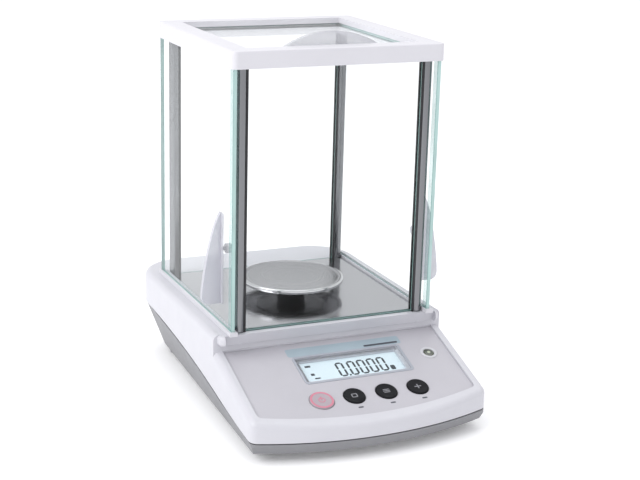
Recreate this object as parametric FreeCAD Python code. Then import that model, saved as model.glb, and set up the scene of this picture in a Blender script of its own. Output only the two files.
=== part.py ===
"""Analytical balance with a glass draft shield, millimetres, +Z up, front towards -Y.

The origin is the centre of the footprint box, on the surface the feet stand on.
Each sub-part is one function that returns its solid, and the last section exports them all.
"""
import FreeCAD, Part
import math
import os

Vector = FreeCAD.Vector
UP = Vector(0, 0, 1)
RIGHT = Vector(1, 0, 0)

# ---------------------------------------------------------------- driving dimensions
HOUSING_WIDTH = 204.0
HOUSING_DEPTH = 317.0
DECK_HEIGHT = 76.0            # top of the housing under the weighing chamber
FRAME_TOP = 303.0             # top of the draft shield's frame
WALL = 2.5                    # moulded housing wall
GROUND_CLEARANCE = 8.0        # underside of the housing above the table
FRONT_BOW = 18.0              # how far the front bulges forward of its corners
FRONT_CORNER_RADIUS = 7.0
REAR_CORNER_RADIUS = 40.0
DECK_EDGE_RADIUS = 5.0
LIP_RADIUS = 5.0
BASE_DRAFT = 0.36             # sideways taper of the lower tray per mm of height
PART_GAP = 1.0                # dark line between the two housing halves
TONGUE_HEIGHT = 3.0           # lip of the lower tray that reaches up inside the upper cover
TONGUE_CLEARANCE = 0.25
TRAY_TOP_DROP = 20.0          # top of the tray's tapered block below the deck
TRAY_SIDE_INSET = 3.5         # tray's underside narrower than the cover, each side at the front
TRAY_REAR_SIDE_INSET = 15.0   # the same at the rear
TRAY_FRONT_INSET = 3.0
TRAY_REAR_INSET = 8.0
TRAY_REAR_OVERRUN = 2.0       # the taper reaches this far past the cover's rear face at its top
SPLIT_HEIGHTS = (17.0, 21.5, 33.5, 42.5, 48.0)   # parting line, from the front to the rear
SPLIT_STEPS = (48.0, 17.0, 3.5)   # its middle stations behind the front, the panel's top, the pan's axis

# draft shield
SHIELD_SIDE_STEP = 11.0       # deck left free beside the shield
SHIELD_SETBACK = 93.0         # front of the shield behind the foremost point of the housing
SHIELD_REAR_STEP = 40.0       # deck left free behind the shield
FRAME_HEIGHT = 14.0
FRAME_SIDE_BORDER = 17.0
FRAME_END_BORDER = 15.0
FRAME_CORNER_RADIUS = 5.0
FRAME_EDGE_RADIUS = 1.5
POST_RADIUS = 4.5
POST_RAIL_GAP = 0.1           # between a post and the door rail beside it
POST_INSET_Y = 11.0
POST_SOCKET_DEPTH = 4.0
POST_GROOVE_DEPTH = 1.4
GLASS = 3.2                   # pane thickness
TOP_GLASS = 3.0
GLASS_CLEARANCE = 0.2         # gap each side of a pane in its groove
PANE_EDGE_GAP = 0.3           # gap at the edge of a pane in its groove
DOOR_INSET = 2.0              # outer face of a side door inside the shield's side
RAIL_HEIGHT = 3.2
RAIL_GROOVE_DEPTH = 2.0
RAIL_INNER_LIP = 1.2
DOOR_GROOVE_DEPTH = 4.6
DOOR_SETBACK = 3.0            # front edge of a side door behind the shield's front
FIXED_GROOVE_DEPTH = 3.0
TOP_GROOVE_DEPTH = 3.6
TOP_GLASS_DROP = 8.0          # underside of the top pane below the frame's top
DOOR_REAR_GAP = 1.0           # rear edge of a sliding pane inside the shield's rear
RUNNING_GAP = 0.05            # under a sliding pane in its rail

# door grips
GRIP_HEIGHT = 75.0
GRIP_REACH = 17.5
GRIP_THICKNESS = 4.0
GRIP_FOOT = 1.5
GRIP_FOOT_HALF_WIDTH = 5.0
GRIP_TIP = 2.0                # reach left at the top of a grip
GRIP_NOSE = (7.0, 2.0, 1.4, 6.0)   # rounded lower corner: start back, middle back, middle up, end up
GRIP_CURVE = ((0.82, 34.0), (0.55, 62.0))   # control points: share of the reach, height
GRIP_BOTTOM_Z = 97.0
GRIP_FROM_DOOR_EDGE = 23.0
KNOB_RADIUS = 4.0
KNOB_REACH = 5.0
KNOB_Z = 142.0
KNOB_EDGE_RADIUS = 1.0
GRIP_SCREW_RADIUS = 1.5
ARCH_WIDTH = 88.0
ARCH_RISE = 15.0
ARCH_SHOULDER = 1.5
ARCH_FROM_OPENING = 5.0

# chamber floor and pan
PLATE = 1.2
PLATE_CLEARANCE = 0.6
PAN_RADIUS = 45.0
PAN_TOP = 91.5
PAN_SHEET = 0.9
PAN_RIM_DROP = 3.6
PAN_DISH = 0.8
PAN_RIM_WIDTH = 4.0
PAN_RIM_SLOPE = 1.6
PAN_RIM_CHAMFER = 0.6
PAN_RIM_SHEET_SHIFT = 0.4
SUPPORT_HUB_RADIUS = 12.0
SUPPORT_DISC_RADIUS = 30.0
SUPPORT_DISC = 1.6
SUPPORT_FLARE = 3.0
SUPPORT_CAP = 1.0             # metal left over the stem's end
SUPPORT_GAP = 1.0             # under the hub, over the floor plate
STEM_RADIUS = 5.0
STEM_FIT = 0.05
STEM_END_GAP = 0.4
DECK_HOLE_RADIUS = 10.0

# control panel, in its own plane
PANEL_TOP_Y_FROM_SHIELD = 8.5   # upper edge of the panel behind the shield's front
PANEL_DROP = 15.5             # top edge of the panel below the deck
PANEL_ANGLE = 18.5
PANEL_BORDER = 8.0            # housing left beside the panel
PANEL_SIDE_LENGTH = 82.0
PANEL_CENTRE_LENGTH = 95.5
PANEL_CORNER_RADIUS = 5.0
OVERLAY = 1.2
RIM_RISE = 1.6
OVERLAY_CLEARANCE = 0.2
BROW_REACH = 8.5              # how far the deck's front overhangs the panel
BROW_THICKNESS = 9.0
BROW_RADIUS = 3.5
BROW_SIDE_INSET = 3.0
BROW_CORNER_RADIUS = 8.0
WINDOW_WIDTH = 92.0
WINDOW_LENGTH = 30.0
WINDOW_CENTRE = (6.5, 34.0)
WINDOW_THICKNESS = 1.6
WINDOW_LEDGE = 2.5
WINDOW_CORNER_RADIUS = 1.5
LCD_BORDER = 3.0
LCD_THICKNESS = 4.4
UNDER_SKIN_GAP = 0.2          # between the panel's skin and what lies under it
BUTTON_RADIUS = 9.0
POWER_RADIUS = 10.0
BUTTON_ROW = 72.0
BUTTON_COLUMNS = (-37.0, -9.0, 19.0, 47.0)
BUTTON_CLEARANCE = 0.35
BUTTON_RISE = 1.2
BUTTON_FLANGE = 1.2
BUTTON_FLANGE_HEIGHT = 1.4
BUTTON_TRAVEL = 1.0
BUTTON_EDGE_RADIUS = 0.6
BOARD = 1.6
BOARD_DEPTH = 10.0            # top of the display board below the panel's surface
DISPLAY_BOARD_SPAN = (-78.0, 70.0)
DISPLAY_BOARD_REACH = (14.0, 84.0)
SWITCH_SIZE = 6.0
SWITCH_HEIGHT = 2.6
SWITCH_STEM_RADIUS = 1.65
SWITCH_GAP = 0.15             # left over the switch stem when its key is pressed
LEVEL_FROM_SIDE = 26.0
LEVEL_DOWN = 33.0
LEVEL_RADIUS = 5.6
LEVEL_BEZEL_RADIUS = 7.2
LEVEL_BEZEL = 0.8
LEVEL_DEPTH = 8.0
LEVEL_WALL = 0.9
LEVEL_FILL_DROP = 0.2

# screws and bosses
BOSS_RADIUS = 5.0
BOSS_SPLIT_Z = 36.0
BOSS_GAP = 0.2
SCREW_RADIUS = 2.0
SCREW_PILOT_RADIUS = 1.7
SCREW_HEAD_RADIUS = 3.8
SCREW_HEAD = 2.6
SCREW_CLEARANCE = 0.3
SCREW_BITE = 10.0
SCREW_TIP_ROOM = 2.0
SCREW_FIT = 0.02
SCREW_SINK = 1.0              # heads lie this far inside the tray's underside
SCREW_RECESS = (1.2, 1.4)     # radius and depth of the drive recess
SCREW_FROM_SIDE = 18.0
SCREW_BEHIND_PANEL = 12.0     # front pair behind the panel's top edge
SCREW_BEFORE_SHIELD_REAR = 26.5
POST_STUD_ROOM = 0.5          # under a post's stud in its blind hole

# feet
FOOT_PAD_RADIUS = 9.0
FOOT_PAD_HEIGHT = 3.0
FOOT_WHEEL_RADIUS = 13.0
FOOT_WHEEL_HEIGHT = 3.8
FOOT_GAP = 0.3
FOOT_STUD_RADIUS = 3.0
FOOT_STUD_LENGTH = 17.0
FOOT_STUD_FIT = 0.08
FOOT_NOTCHES = 18
FOOT_NOTCH_RADIUS = 1.3
FOOT_BOSS_RADIUS = 7.0
FOOT_BOSS_ROOM = 2.0
FOOT_FROM_SIDE = 32.0
FOOT_FROM_REAR = 46.0
FRONT_FOOT_RADIUS = 8.0
FRONT_FOOT_SEAT = 0.8
FRONT_FOOT_EDGE_RADIUS = 1.0
FRONT_FOOT_FROM_SIDE = 24.0
FRONT_FOOT_FROM_CORNER = 22.0

# rear interfaces
REAR_PROUD = 0.4              # sockets stand this far out of the rear wall
INLET_FROM_CORNER = 2.5       # from the end of the flat rear wall to the inlet's body
INLET_Z = 27.0
INLET_BODY = 13.0
INLET_BODY_DEPTH = 11.0
INLET_WALL_GAP = 0.24         # between the rear wall and the inlet's body
PORT_WALL_GAP = 0.283
LOCK_PLATE_GAP = 0.42
INLET_FLANGE_RADIUS = 6.0
INLET_BORE_RADIUS = 2.85
INLET_BORE_DEPTH = 9.5
INLET_PIN_RADIUS = 1.0
INLET_PIN_DROP = 1.0
PORT_X = 22.0
PORT_Z = 27.0
PORT_WIDTH = 31.0
PORT_HEIGHT = 12.6
PORT_MOUTH_WIDTH = 17.0
PORT_MOUTH_HEIGHT = 8.4
PORT_MOUTH_DEPTH = 6.0
PORT_BODY_DEPTH = 11.0
PORT_SHELL = 0.9
PORT_SIDE_ANGLE = 10.0
LOCK_X = -16.0
LOCK_Z = 27.0
LOCK_SLOT = (7.0, 3.0)
LOCK_PLATE = (13.0, 9.0, 1.5)
REAR_CLEARANCE = 0.15
LABEL_HALF_WIDTH = 26.0
LABEL_Z = (53.0, 67.0)
LABEL = 0.5

# cap over the weigh-below opening
HOOK_PLUG_RADIUS = 9.5
HOOK_FLANGE_RADIUS = 12.0
HOOK_FLANGE = 1.2

# weigh cell
CELL_WIDTH = 44.0
CELL_NOSE = 16.0              # front of the cell ahead of the pan's axis
CELL_BASE = 6.0
CELL_TOP_DROP = 14.0          # top of the cell below the deck
GUIDE = 2.0
GUIDE_BORDER = 9.0
GUIDE_CLAMP = 4.0
GUIDE_LIFT = 6.0              # lower guide above the cell's slab
RECEIVER_LENGTH = 22.0
RECEIVER_STEP = 4.0           # receiver narrower than the guides, each side
RECEIVER_ARM_HALF_WIDTH = 8.0
RECEIVER_ARM = 6.0
RECEIVER_ARM_LIFT = 4.0
TOWER_GAP = 24.0
TOWER_LENGTH = 14.0
ARCH_HALF_WIDTH = 7.0
ARCH_UNDER = 9.8              # opening below the beam
ARCH_OVER = 4.7               # opening above the beam
BRIDGE_THICKNESS = 4.0
BRIDGE_OVERRUN = 6.0
MAGNET_RADIUS = 15.0
MAGNET_HEIGHT = 16.0
MAGNET_GAP = 1.0
MAGNET_SLOT = (8.0, 11.5, 4.0)     # inner radius, outer radius, floor
COIL = (8.7, 10.8, 6.0)            # inner radius, outer radius, lift
COIL_GAP = 0.8
COIL_PLATE = 3.0
BEAM_HALF_WIDTH = 4.0
BEAM_HEIGHT = 7.0
BEAM_SLOT_GAP = 1.5
BEAM_START = 8.0
BEAM_SIDE_GAP = 2.0

# main board and its cable
MAIN_BOARD_FROM_SIDE = 14.0
MAIN_BOARD_WIDTH = 58.0
MAIN_BOARD_SCREW_GAPS = (25.0, 22.0)   # behind the front screws, before the rear ones
STANDOFF_HEIGHT = 5.0
STANDOFF_RADIUS = 3.0
STANDOFF_INSET = 5.0
CABLE_INSET = 18.0            # from the board's outer edge
CABLE_WIDTH = 16.0
CABLE = 1.0
CABLE_OVERLAP = 8.0           # length of cable that lies on the main board
CABLE_TURN = 30.0             # where the cable turns up, ahead of the panel's top edge
CABLE_RUN = 12.0
CABLE_GAP = 0.78              # left under the display board

# ---------------------------------------------------------------- derived places
HALF_WIDTH = HOUSING_WIDTH / 2
SHIELD_WIDTH = HOUSING_WIDTH - 2 * SHIELD_SIDE_STEP
SHIELD_DEPTH = HOUSING_DEPTH - SHIELD_SETBACK - SHIELD_REAR_STEP
FRONT_Y = -HOUSING_DEPTH / 2
REAR_Y = HOUSING_DEPTH / 2
CORNER_Y = FRONT_Y + FRONT_BOW
SHIELD_FRONT = FRONT_Y + SHIELD_SETBACK
SHIELD_REAR = SHIELD_FRONT + SHIELD_DEPTH
SHIELD_HALF = SHIELD_WIDTH / 2
CHAMBER_Y = (SHIELD_FRONT + SHIELD_REAR) / 2
FRAME_BOTTOM = FRAME_TOP - FRAME_HEIGHT
POST_FRONT_Y = SHIELD_FRONT + POST_INSET_Y
POST_REAR_Y = SHIELD_REAR - POST_INSET_Y
DOOR_OUTER_X = SHIELD_HALF - DOOR_INSET
DOOR_INNER_X = DOOR_OUTER_X - GLASS
DOOR_FRONT_Y = SHIELD_FRONT + DOOR_SETBACK
RAIL_INNER_X = DOOR_INNER_X - GLASS_CLEARANCE - RAIL_INNER_LIP
POST_X = RAIL_INNER_X - POST_RAIL_GAP - POST_RADIUS
OPENING_X = SHIELD_HALF - FRAME_SIDE_BORDER
OPENING_FRONT = SHIELD_FRONT + FRAME_END_BORDER
OPENING_REAR = SHIELD_REAR - FRAME_END_BORDER
TOP_GLASS_Z = FRAME_TOP - TOP_GLASS_DROP
PLATE_TOP = DECK_HEIGHT + PLATE
PANEL_TOP_Z = DECK_HEIGHT - PANEL_DROP
PANEL_HALF_WIDTH = HALF_WIDTH - PANEL_BORDER
LEVEL_CENTRE = (HALF_WIDTH - LEVEL_FROM_SIDE, LEVEL_DOWN)
PANEL_ORIGIN = Vector(0, SHIELD_FRONT + PANEL_TOP_Y_FROM_SHIELD, PANEL_TOP_Z)
SLOPE = math.tan(math.radians(PANEL_ANGLE))
HOUSING_FLOOR = GROUND_CLEARANCE + WALL
PAN_UNDERSIDE = PAN_TOP - PAN_DISH - PAN_SHEET
GRIP_Y = DOOR_FRONT_Y + GRIP_FROM_DOOR_EDGE
PANEL_CAVITY = OVERLAY + WALL
UNDER_SKIN = -PANEL_CAVITY - UNDER_SKIN_GAP
TRAY_TOP = DECK_HEIGHT - TRAY_TOP_DROP
FOOT_X = HALF_WIDTH - FOOT_FROM_SIDE
FOOT_Y = REAR_Y - FOOT_FROM_REAR
INLET_X = -(HALF_WIDTH - TRAY_REAR_SIDE_INSET - REAR_CORNER_RADIUS - INLET_BODY / 2 - INLET_FROM_CORNER)
CELL_FRONT = CHAMBER_Y - CELL_NOSE
CELL_FLOOR = HOUSING_FLOOR + CELL_BASE
CELL_TOP = DECK_HEIGHT - CELL_TOP_DROP
TOWER_FRONT = CELL_FRONT + RECEIVER_LENGTH + TOWER_GAP
TOWER_REAR = TOWER_FRONT + TOWER_LENGTH
MAGNET_Y = TOWER_REAR + MAGNET_GAP + MAGNET_RADIUS
CELL_REAR = MAGNET_Y + MAGNET_RADIUS + MAGNET_GAP
BEAM_Z = CELL_FLOOR + MAGNET_HEIGHT + COIL_GAP + COIL_PLATE
MAIN_BOARD_Z = HOUSING_FLOOR + STANDOFF_HEIGHT
STUD_HOLE_Z = DECK_HEIGHT - BROW_THICKNESS + POST_STUD_ROOM
HEAD_Z = GROUND_CLEARANCE + SCREW_SINK
STUD_ROOM_TOP = GROUND_CLEARANCE + FOOT_STUD_LENGTH + FOOT_BOSS_ROOM
MAIN_BOARD_LEFT = MAIN_BOARD_FROM_SIDE - HALF_WIDTH
MAIN_BOARD_X = (MAIN_BOARD_LEFT, MAIN_BOARD_LEFT + MAIN_BOARD_WIDTH)
SCREW_FRONT_Y = PANEL_ORIGIN.y + SCREW_BEHIND_PANEL
SCREW_REAR_Y = SHIELD_REAR - SCREW_BEFORE_SHIELD_REAR
MAIN_BOARD_Y = (SCREW_FRONT_Y + MAIN_BOARD_SCREW_GAPS[0], SCREW_REAR_Y - MAIN_BOARD_SCREW_GAPS[1])

SCREW_POINTS = [
    (x, y)
    for x in (SCREW_FROM_SIDE - HALF_WIDTH, HALF_WIDTH - SCREW_FROM_SIDE)
    for y in (SCREW_FRONT_Y, SCREW_REAR_Y)
]
POST_POINTS = [(x, y) for x in (-POST_X, POST_X) for y in (POST_FRONT_Y, POST_REAR_Y)]
FRONT_FOOT_POINTS = [
    (x, CORNER_Y + FRONT_FOOT_FROM_CORNER)
    for x in (FRONT_FOOT_FROM_SIDE - HALF_WIDTH, HALF_WIDTH - FRONT_FOOT_FROM_SIDE)
]


# ---------------------------------------------------------------- small helpers
def box(x0, x1, y0, y1, z0, z1):
    return Part.makeBox(x1 - x0, y1 - y0, z1 - z0, Vector(x0, y0, z0))


def cylinder(radius, start, end):
    axis = end - start
    return Part.makeCylinder(radius, axis.Length, start, axis)


def upright(radius, x, y, z0, z1):
    return cylinder(radius, Vector(x, y, z0), Vector(x, y, z1))


def polygon_prism(points, direction):
    wire = Part.makePolygon(points + [points[0]])
    return Part.Face(wire).extrude(direction)


def rounded_box(x0, x1, y0, y1, z0, z1, radius):
    solid = box(x0, x1, y0, y1, z0, z1)
    return solid.makeFillet(radius, [e for e in solid.Edges if is_along(e, UP)])


def is_along(edge, direction):
    if len(edge.Vertexes) != 2 or not isinstance(edge.Curve, Part.Line):
        return False
    return abs(edge.tangentAt(edge.FirstParameter).dot(direction)) > 0.999


def ring(outer, inner, x, y, z0, z1):
    return upright(outer, x, y, z0, z1).cut(upright(inner, x, y, z0, z1))


def mirrored(solid):
    return solid.mirror(Vector(0, 0, 0), RIGHT)


def joined(solids):
    return solids[0].fuse(solids[1:]).removeSplitter()


def on_panel(solid):
    """Moves a solid from the panel's plane (x right, y up the slope, z out of it) to its place."""
    placed = solid.copy()
    tilt = FreeCAD.Rotation(RIGHT, PANEL_ANGLE)
    placed.Placement = FreeCAD.Placement(PANEL_ORIGIN, tilt).multiply(placed.Placement)
    return placed


# ---------------------------------------------------------------- housing envelope
def plan_wire(half_width, front, corner, rear, rear_radius, z, rear_half=None):
    """Outline from above: bowed front, straight sides, well rounded rear corners."""
    rear_half = half_width if rear_half is None else rear_half
    diagonal = rear_radius * (1 - math.sqrt(0.5))
    left = Part.LineSegment(Vector(-half_width, corner, z), Vector(-rear_half, rear - rear_radius, z))
    left_turn = Part.Arc(
        Vector(-rear_half, rear - rear_radius, z),
        Vector(-rear_half + diagonal, rear - diagonal, z),
        Vector(-rear_half + rear_radius, rear, z),
    )
    back = Part.LineSegment(Vector(-rear_half + rear_radius, rear, z), Vector(rear_half - rear_radius, rear, z))
    right_turn = Part.Arc(
        Vector(rear_half - rear_radius, rear, z),
        Vector(rear_half - diagonal, rear - diagonal, z),
        Vector(rear_half, rear - rear_radius, z),
    )
    right = Part.LineSegment(Vector(rear_half, rear - rear_radius, z), Vector(half_width, corner, z))
    bow = Part.Arc(Vector(half_width, corner, z), Vector(0, front, z), Vector(-half_width, corner, z))
    return Part.Wire([g.toShape() for g in (left, left_turn, back, right_turn, right, bow)])


def plan_prism(inset, z0, z1):
    wire = plan_wire(
        HALF_WIDTH - inset, FRONT_Y + inset, CORNER_Y + inset,
        REAR_Y - inset, REAR_CORNER_RADIUS - inset, z0,
    )
    prism = Part.Face(wire).extrude(Vector(0, 0, z1 - z0))
    corners = [e for e in prism.Edges if is_along(e, UP) and e.CenterOfMass.y < CORNER_Y + inset + 1]
    return prism.makeFillet(FRONT_CORNER_RADIUS - inset, corners)


def edges_on_plane(solid, point, normal):
    found = []
    for edge in solid.Edges:
        ends = [v.Point for v in edge.Vertexes] + [edge.valueAt(edge.ParameterRange[0]), edge.CenterOfMass]
        if all(abs((p - point).dot(normal)) < 0.01 for p in ends):
            found.append(edge)
    return found


def slope_z(y, rise):
    """Height of the plane that lies `rise` above the control panel, at depth y."""
    return PANEL_TOP_Z + (y - PANEL_ORIGIN.y) * SLOPE + rise / math.cos(math.radians(PANEL_ANGLE))


def wedge(inset, rise):
    """Everything under the sloping control surface, as far back as the chamber."""
    back = CHAMBER_Y
    prism = plan_prism(inset, 0, DECK_HEIGHT)
    far = FRONT_Y - 1
    under = polygon_prism(
        [Vector(-HALF_WIDTH, far, 0), Vector(-HALF_WIDTH, back, 0),
         Vector(-HALF_WIDTH, back, slope_z(PANEL_ORIGIN.y, rise)),
         Vector(-HALF_WIDTH, PANEL_ORIGIN.y, slope_z(PANEL_ORIGIN.y, rise)),
         Vector(-HALF_WIDTH, far, slope_z(far, rise))],
        Vector(HOUSING_WIDTH, 0, 0),
    )
    return prism.common(under)


def deck_block(inset):
    """The rear of the housing, under the weighing chamber."""
    rear = box(-HALF_WIDTH, HALF_WIDTH, PANEL_ORIGIN.y + inset, REAR_Y, 0, DECK_HEIGHT - inset)
    return plan_prism(inset, 0, DECK_HEIGHT).common(rear)


def brow():
    """Rounded nose of the deck that overhangs the top of the control panel."""
    half = HALF_WIDTH - BROW_SIDE_INSET
    y0 = PANEL_ORIGIN.y - BROW_REACH
    y1 = PANEL_ORIGIN.y + BROW_REACH + DECK_EDGE_RADIUS
    nose = box(-half, half, y0, y1, DECK_HEIGHT - BROW_THICKNESS, DECK_HEIGHT)
    corners = [e for e in nose.Edges if is_along(e, UP) and e.CenterOfMass.y < PANEL_ORIGIN.y]
    nose = nose.makeFillet(BROW_CORNER_RADIUS, corners)
    rim = [e for e in nose.Edges if not is_along(e, UP) and e.CenterOfMass.y < y1 - 0.1]
    return nose.makeFillet(BROW_RADIUS, rim)


def envelope():
    """Outer skin of both housing halves as one solid, down to the table."""
    front = wedge(0, RIM_RISE)
    normal = Vector(0, -math.sin(math.radians(PANEL_ANGLE)), math.cos(math.radians(PANEL_ANGLE)))
    rim_point = PANEL_ORIGIN + normal * RIM_RISE
    top = [e for e in edges_on_plane(front, rim_point, normal) if not is_along(e, RIGHT)]
    front = front.makeFillet(LIP_RADIUS, top)
    rear = deck_block(0)
    deck_edges = [e for e in edges_on_plane(rear, Vector(0, 0, DECK_HEIGHT), UP) if not is_along(e, RIGHT)
                  or e.CenterOfMass.y > CHAMBER_Y]
    rear = rear.makeFillet(DECK_EDGE_RADIUS, deck_edges)
    return joined([front, rear, brow()])


def split_region(offset):
    """Everything under the swept line that parts the two halves, moved up by offset."""
    front_step, panel_step, chamber_step = SPLIT_STEPS
    middle = (FRONT_Y + front_step, PANEL_ORIGIN.y + panel_step, CHAMBER_Y + chamber_step)
    depths = (FRONT_Y - 2,) + middle + (REAR_Y + 2,)
    side = -HALF_WIDTH - 1
    points = [Vector(side, y, z + offset) for y, z in zip(depths, SPLIT_HEIGHTS)]
    line = Part.BSplineCurve()
    line.interpolate(points)
    first = Vector(side, depths[0], 0)
    last = Vector(side, depths[-1], 0)
    edges = [
        line.toShape(),
        Part.LineSegment(points[-1], last).toShape(),
        Part.LineSegment(last, first).toShape(),
        Part.LineSegment(first, points[0]).toShape(),
    ]
    return Part.Face(Part.Wire(edges)).extrude(Vector(HOUSING_WIDTH + 2, 0, 0))


def tray_block(inset, bottom):
    """Lower tray's outer taper: a loft between a narrow bottom outline and a wider one above."""
    lean = BASE_DRAFT * (TRAY_TOP - GROUND_CLEARANCE)
    front_bottom = HALF_WIDTH - TRAY_SIDE_INSET - inset
    rear_bottom = HALF_WIDTH - TRAY_REAR_SIDE_INSET - inset
    low = plan_wire(
        front_bottom, FRONT_Y + TRAY_FRONT_INSET + inset, CORNER_Y + TRAY_FRONT_INSET + inset,
        REAR_Y - TRAY_REAR_INSET - inset, REAR_CORNER_RADIUS - inset, bottom, rear_bottom,
    )
    high = plan_wire(
        front_bottom + lean, FRONT_Y - lean + inset, CORNER_Y - lean + inset,
        REAR_Y + TRAY_REAR_OVERRUN - inset, REAR_CORNER_RADIUS - inset, TRAY_TOP, rear_bottom + lean,
    )
    tapered = Part.makeLoft([low, high], True)
    return tapered.common(plan_prism(inset, 0, TRAY_TOP))


# ---------------------------------------------------------------- housing halves
def upper_bosses():
    """Pillars for the housing screws and short bosses for the posts' studs."""
    top = DECK_HEIGHT - WALL / 2
    pillars = [upright(BOSS_RADIUS, x, y, BOSS_SPLIT_Z + BOSS_GAP, top) for x, y in SCREW_POINTS]
    seats = [upright(BOSS_RADIUS, x, y, DECK_HEIGHT - BROW_THICKNESS, top) for x, y in POST_POINTS]
    return pillars + seats


def upper_housing():
    """White top cover with the chamber deck, the panel recess and its cut-outs."""
    shell = envelope().cut(split_region(0))
    cavity = joined([wedge(WALL, -PANEL_CAVITY), deck_block(WALL)])
    shell = shell.cut(cavity)
    shell = shell.cut(on_panel(panel_blank(OVERLAY_CLEARANCE, -OVERLAY, DECK_HEIGHT)))
    shell = joined([shell] + upper_bosses())
    pilot_top = BOSS_SPLIT_Z + SCREW_BITE + SCREW_TIP_ROOM
    for x, y in SCREW_POINTS:
        shell = shell.cut(upright(SCREW_PILOT_RADIUS, x, y, BOSS_SPLIT_Z - 1, pilot_top))
    for x, y in POST_POINTS:
        shell = shell.cut(upright(SCREW_PILOT_RADIUS, x, y, STUD_HOLE_Z, DECK_HEIGHT + 1))
    shell = shell.cut(upright(DECK_HOLE_RADIUS, 0, CHAMBER_Y, DECK_HEIGHT - WALL - 1, DECK_HEIGHT + 1))
    shell = shell.cut(label_blank(1))
    for tool in panel_cutters():
        shell = shell.cut(on_panel(tool))
    return shell


def panel_cutters():
    """Holes through the sloping skin: window, buttons and level, in the panel's plane."""
    deep = -2 * PANEL_CAVITY
    tools = [window_blank(-WINDOW_LEDGE, deep, 1), window_blank(OVERLAY_CLEARANCE, -WINDOW_THICKNESS, 1)]
    for x, radius in zip(BUTTON_COLUMNS, button_radii()):
        tools.append(upright(radius + BUTTON_CLEARANCE, x, -BUTTON_ROW, deep, 1))
    lx, lv = LEVEL_CENTRE
    tools.append(upright(LEVEL_RADIUS + OVERLAY_CLEARANCE, lx, -lv, deep, 1))
    return tools


def button_radii():
    return [POWER_RADIUS] + [BUTTON_RADIUS] * (len(BUTTON_COLUMNS) - 1)


def window_blank(margin, z0, z1):
    wx, wv = WINDOW_CENTRE
    half_w = WINDOW_WIDTH / 2 + margin
    half_l = WINDOW_LENGTH / 2 + margin
    return rounded_box(wx - half_w, wx + half_w, -wv - half_l, -wv + half_l, z0, z1, WINDOW_CORNER_RADIUS)


def panel_blank(margin, z0, z1):
    """Plate with the control panel's outline: square top, bowed bottom."""
    half = PANEL_HALF_WIDTH + margin
    side = -PANEL_SIDE_LENGTH - margin
    centre = -PANEL_CENTRE_LENGTH - margin
    top = margin
    edges = [
        Part.LineSegment(Vector(-half, side, z0), Vector(-half, top, z0)).toShape(),
        Part.LineSegment(Vector(-half, top, z0), Vector(half, top, z0)).toShape(),
        Part.LineSegment(Vector(half, top, z0), Vector(half, side, z0)).toShape(),
        Part.Arc(Vector(half, side, z0), Vector(0, centre, z0), Vector(-half, side, z0)).toShape(),
    ]
    plate = Part.Face(Part.Wire(edges)).extrude(Vector(0, 0, z1 - z0))
    lower = [e for e in plate.Edges if is_along(e, UP) and e.CenterOfMass.y < -1 - margin]
    return plate.makeFillet(PANEL_CORNER_RADIUS + margin, lower)


def lower_housing():
    """Grey tray that carries the weigh cell, the feet and the rear sockets."""
    outer = tray_block(0, GROUND_CLEARANCE)
    outer = outer.common(split_region(-PART_GAP))
    body = outer.cut(tray_block(WALL, HOUSING_FLOOR))
    tongue_zone = split_region(TONGUE_HEIGHT).cut(split_region(-PART_GAP - 4))
    inner = WALL + TONGUE_CLEARANCE
    tongue = plan_prism(inner, 0, DECK_HEIGHT).cut(plan_prism(inner + WALL / 2, 0, DECK_HEIGHT))
    room = joined([wedge(inner, -PANEL_CAVITY - TONGUE_CLEARANCE), deck_block(inner)])
    tongue = tongue.common(tongue_zone).common(tray_block(0, GROUND_CLEARANCE)).common(room)
    solids = [body, tongue]
    for x, y in SCREW_POINTS:
        solids.append(upright(BOSS_RADIUS, x, y, GROUND_CLEARANCE, BOSS_SPLIT_Z))
    for x in (-FOOT_X, FOOT_X):
        solids.append(upright(FOOT_BOSS_RADIUS, x, FOOT_Y, GROUND_CLEARANCE, STUD_ROOM_TOP + WALL))
    body = joined(solids)
    for x, y in SCREW_POINTS:
        head_room = upright(SCREW_HEAD_RADIUS + SCREW_CLEARANCE, x, y, GROUND_CLEARANCE - 1, HEAD_Z + SCREW_HEAD)
        shank_room = upright(SCREW_RADIUS + SCREW_CLEARANCE, x, y, GROUND_CLEARANCE, BOSS_SPLIT_Z + 1)
        body = body.cut(head_room).cut(shank_room)
    for x in (-FOOT_X, FOOT_X):
        body = body.cut(upright(FOOT_STUD_RADIUS + FOOT_STUD_FIT, x, FOOT_Y, GROUND_CLEARANCE - 1, STUD_ROOM_TOP))
    for x, y in FRONT_FOOT_POINTS:
        seat = GROUND_CLEARANCE + FRONT_FOOT_SEAT
        body = body.cut(upright(FRONT_FOOT_RADIUS + REAR_CLEARANCE, x, y, GROUND_CLEARANCE - 1, seat))
    body = body.cut(upright(HOOK_PLUG_RADIUS + REAR_CLEARANCE, 0, CHAMBER_Y, GROUND_CLEARANCE - 1, HOUSING_FLOOR + 1))
    for tool in rear_cutters():
        body = body.cut(tool)
    return body


def rear_face_y(z):
    """Outer face of the tray's rear wall at height z."""
    share = (z - GROUND_CLEARANCE) / (TRAY_TOP - GROUND_CLEARANCE)
    return REAR_Y - TRAY_REAR_INSET + share * (TRAY_REAR_INSET + TRAY_REAR_OVERRUN)


def behind_wall_y(z, gap):
    """Rearmost place for a body whose lower edge is at height z, a gap inside the rear wall."""
    share = (z - HOUSING_FLOOR) / (TRAY_TOP - HOUSING_FLOOR)
    inner = REAR_Y - TRAY_REAR_INSET - WALL + share * (TRAY_REAR_INSET + TRAY_REAR_OVERRUN)
    return inner - gap


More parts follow.
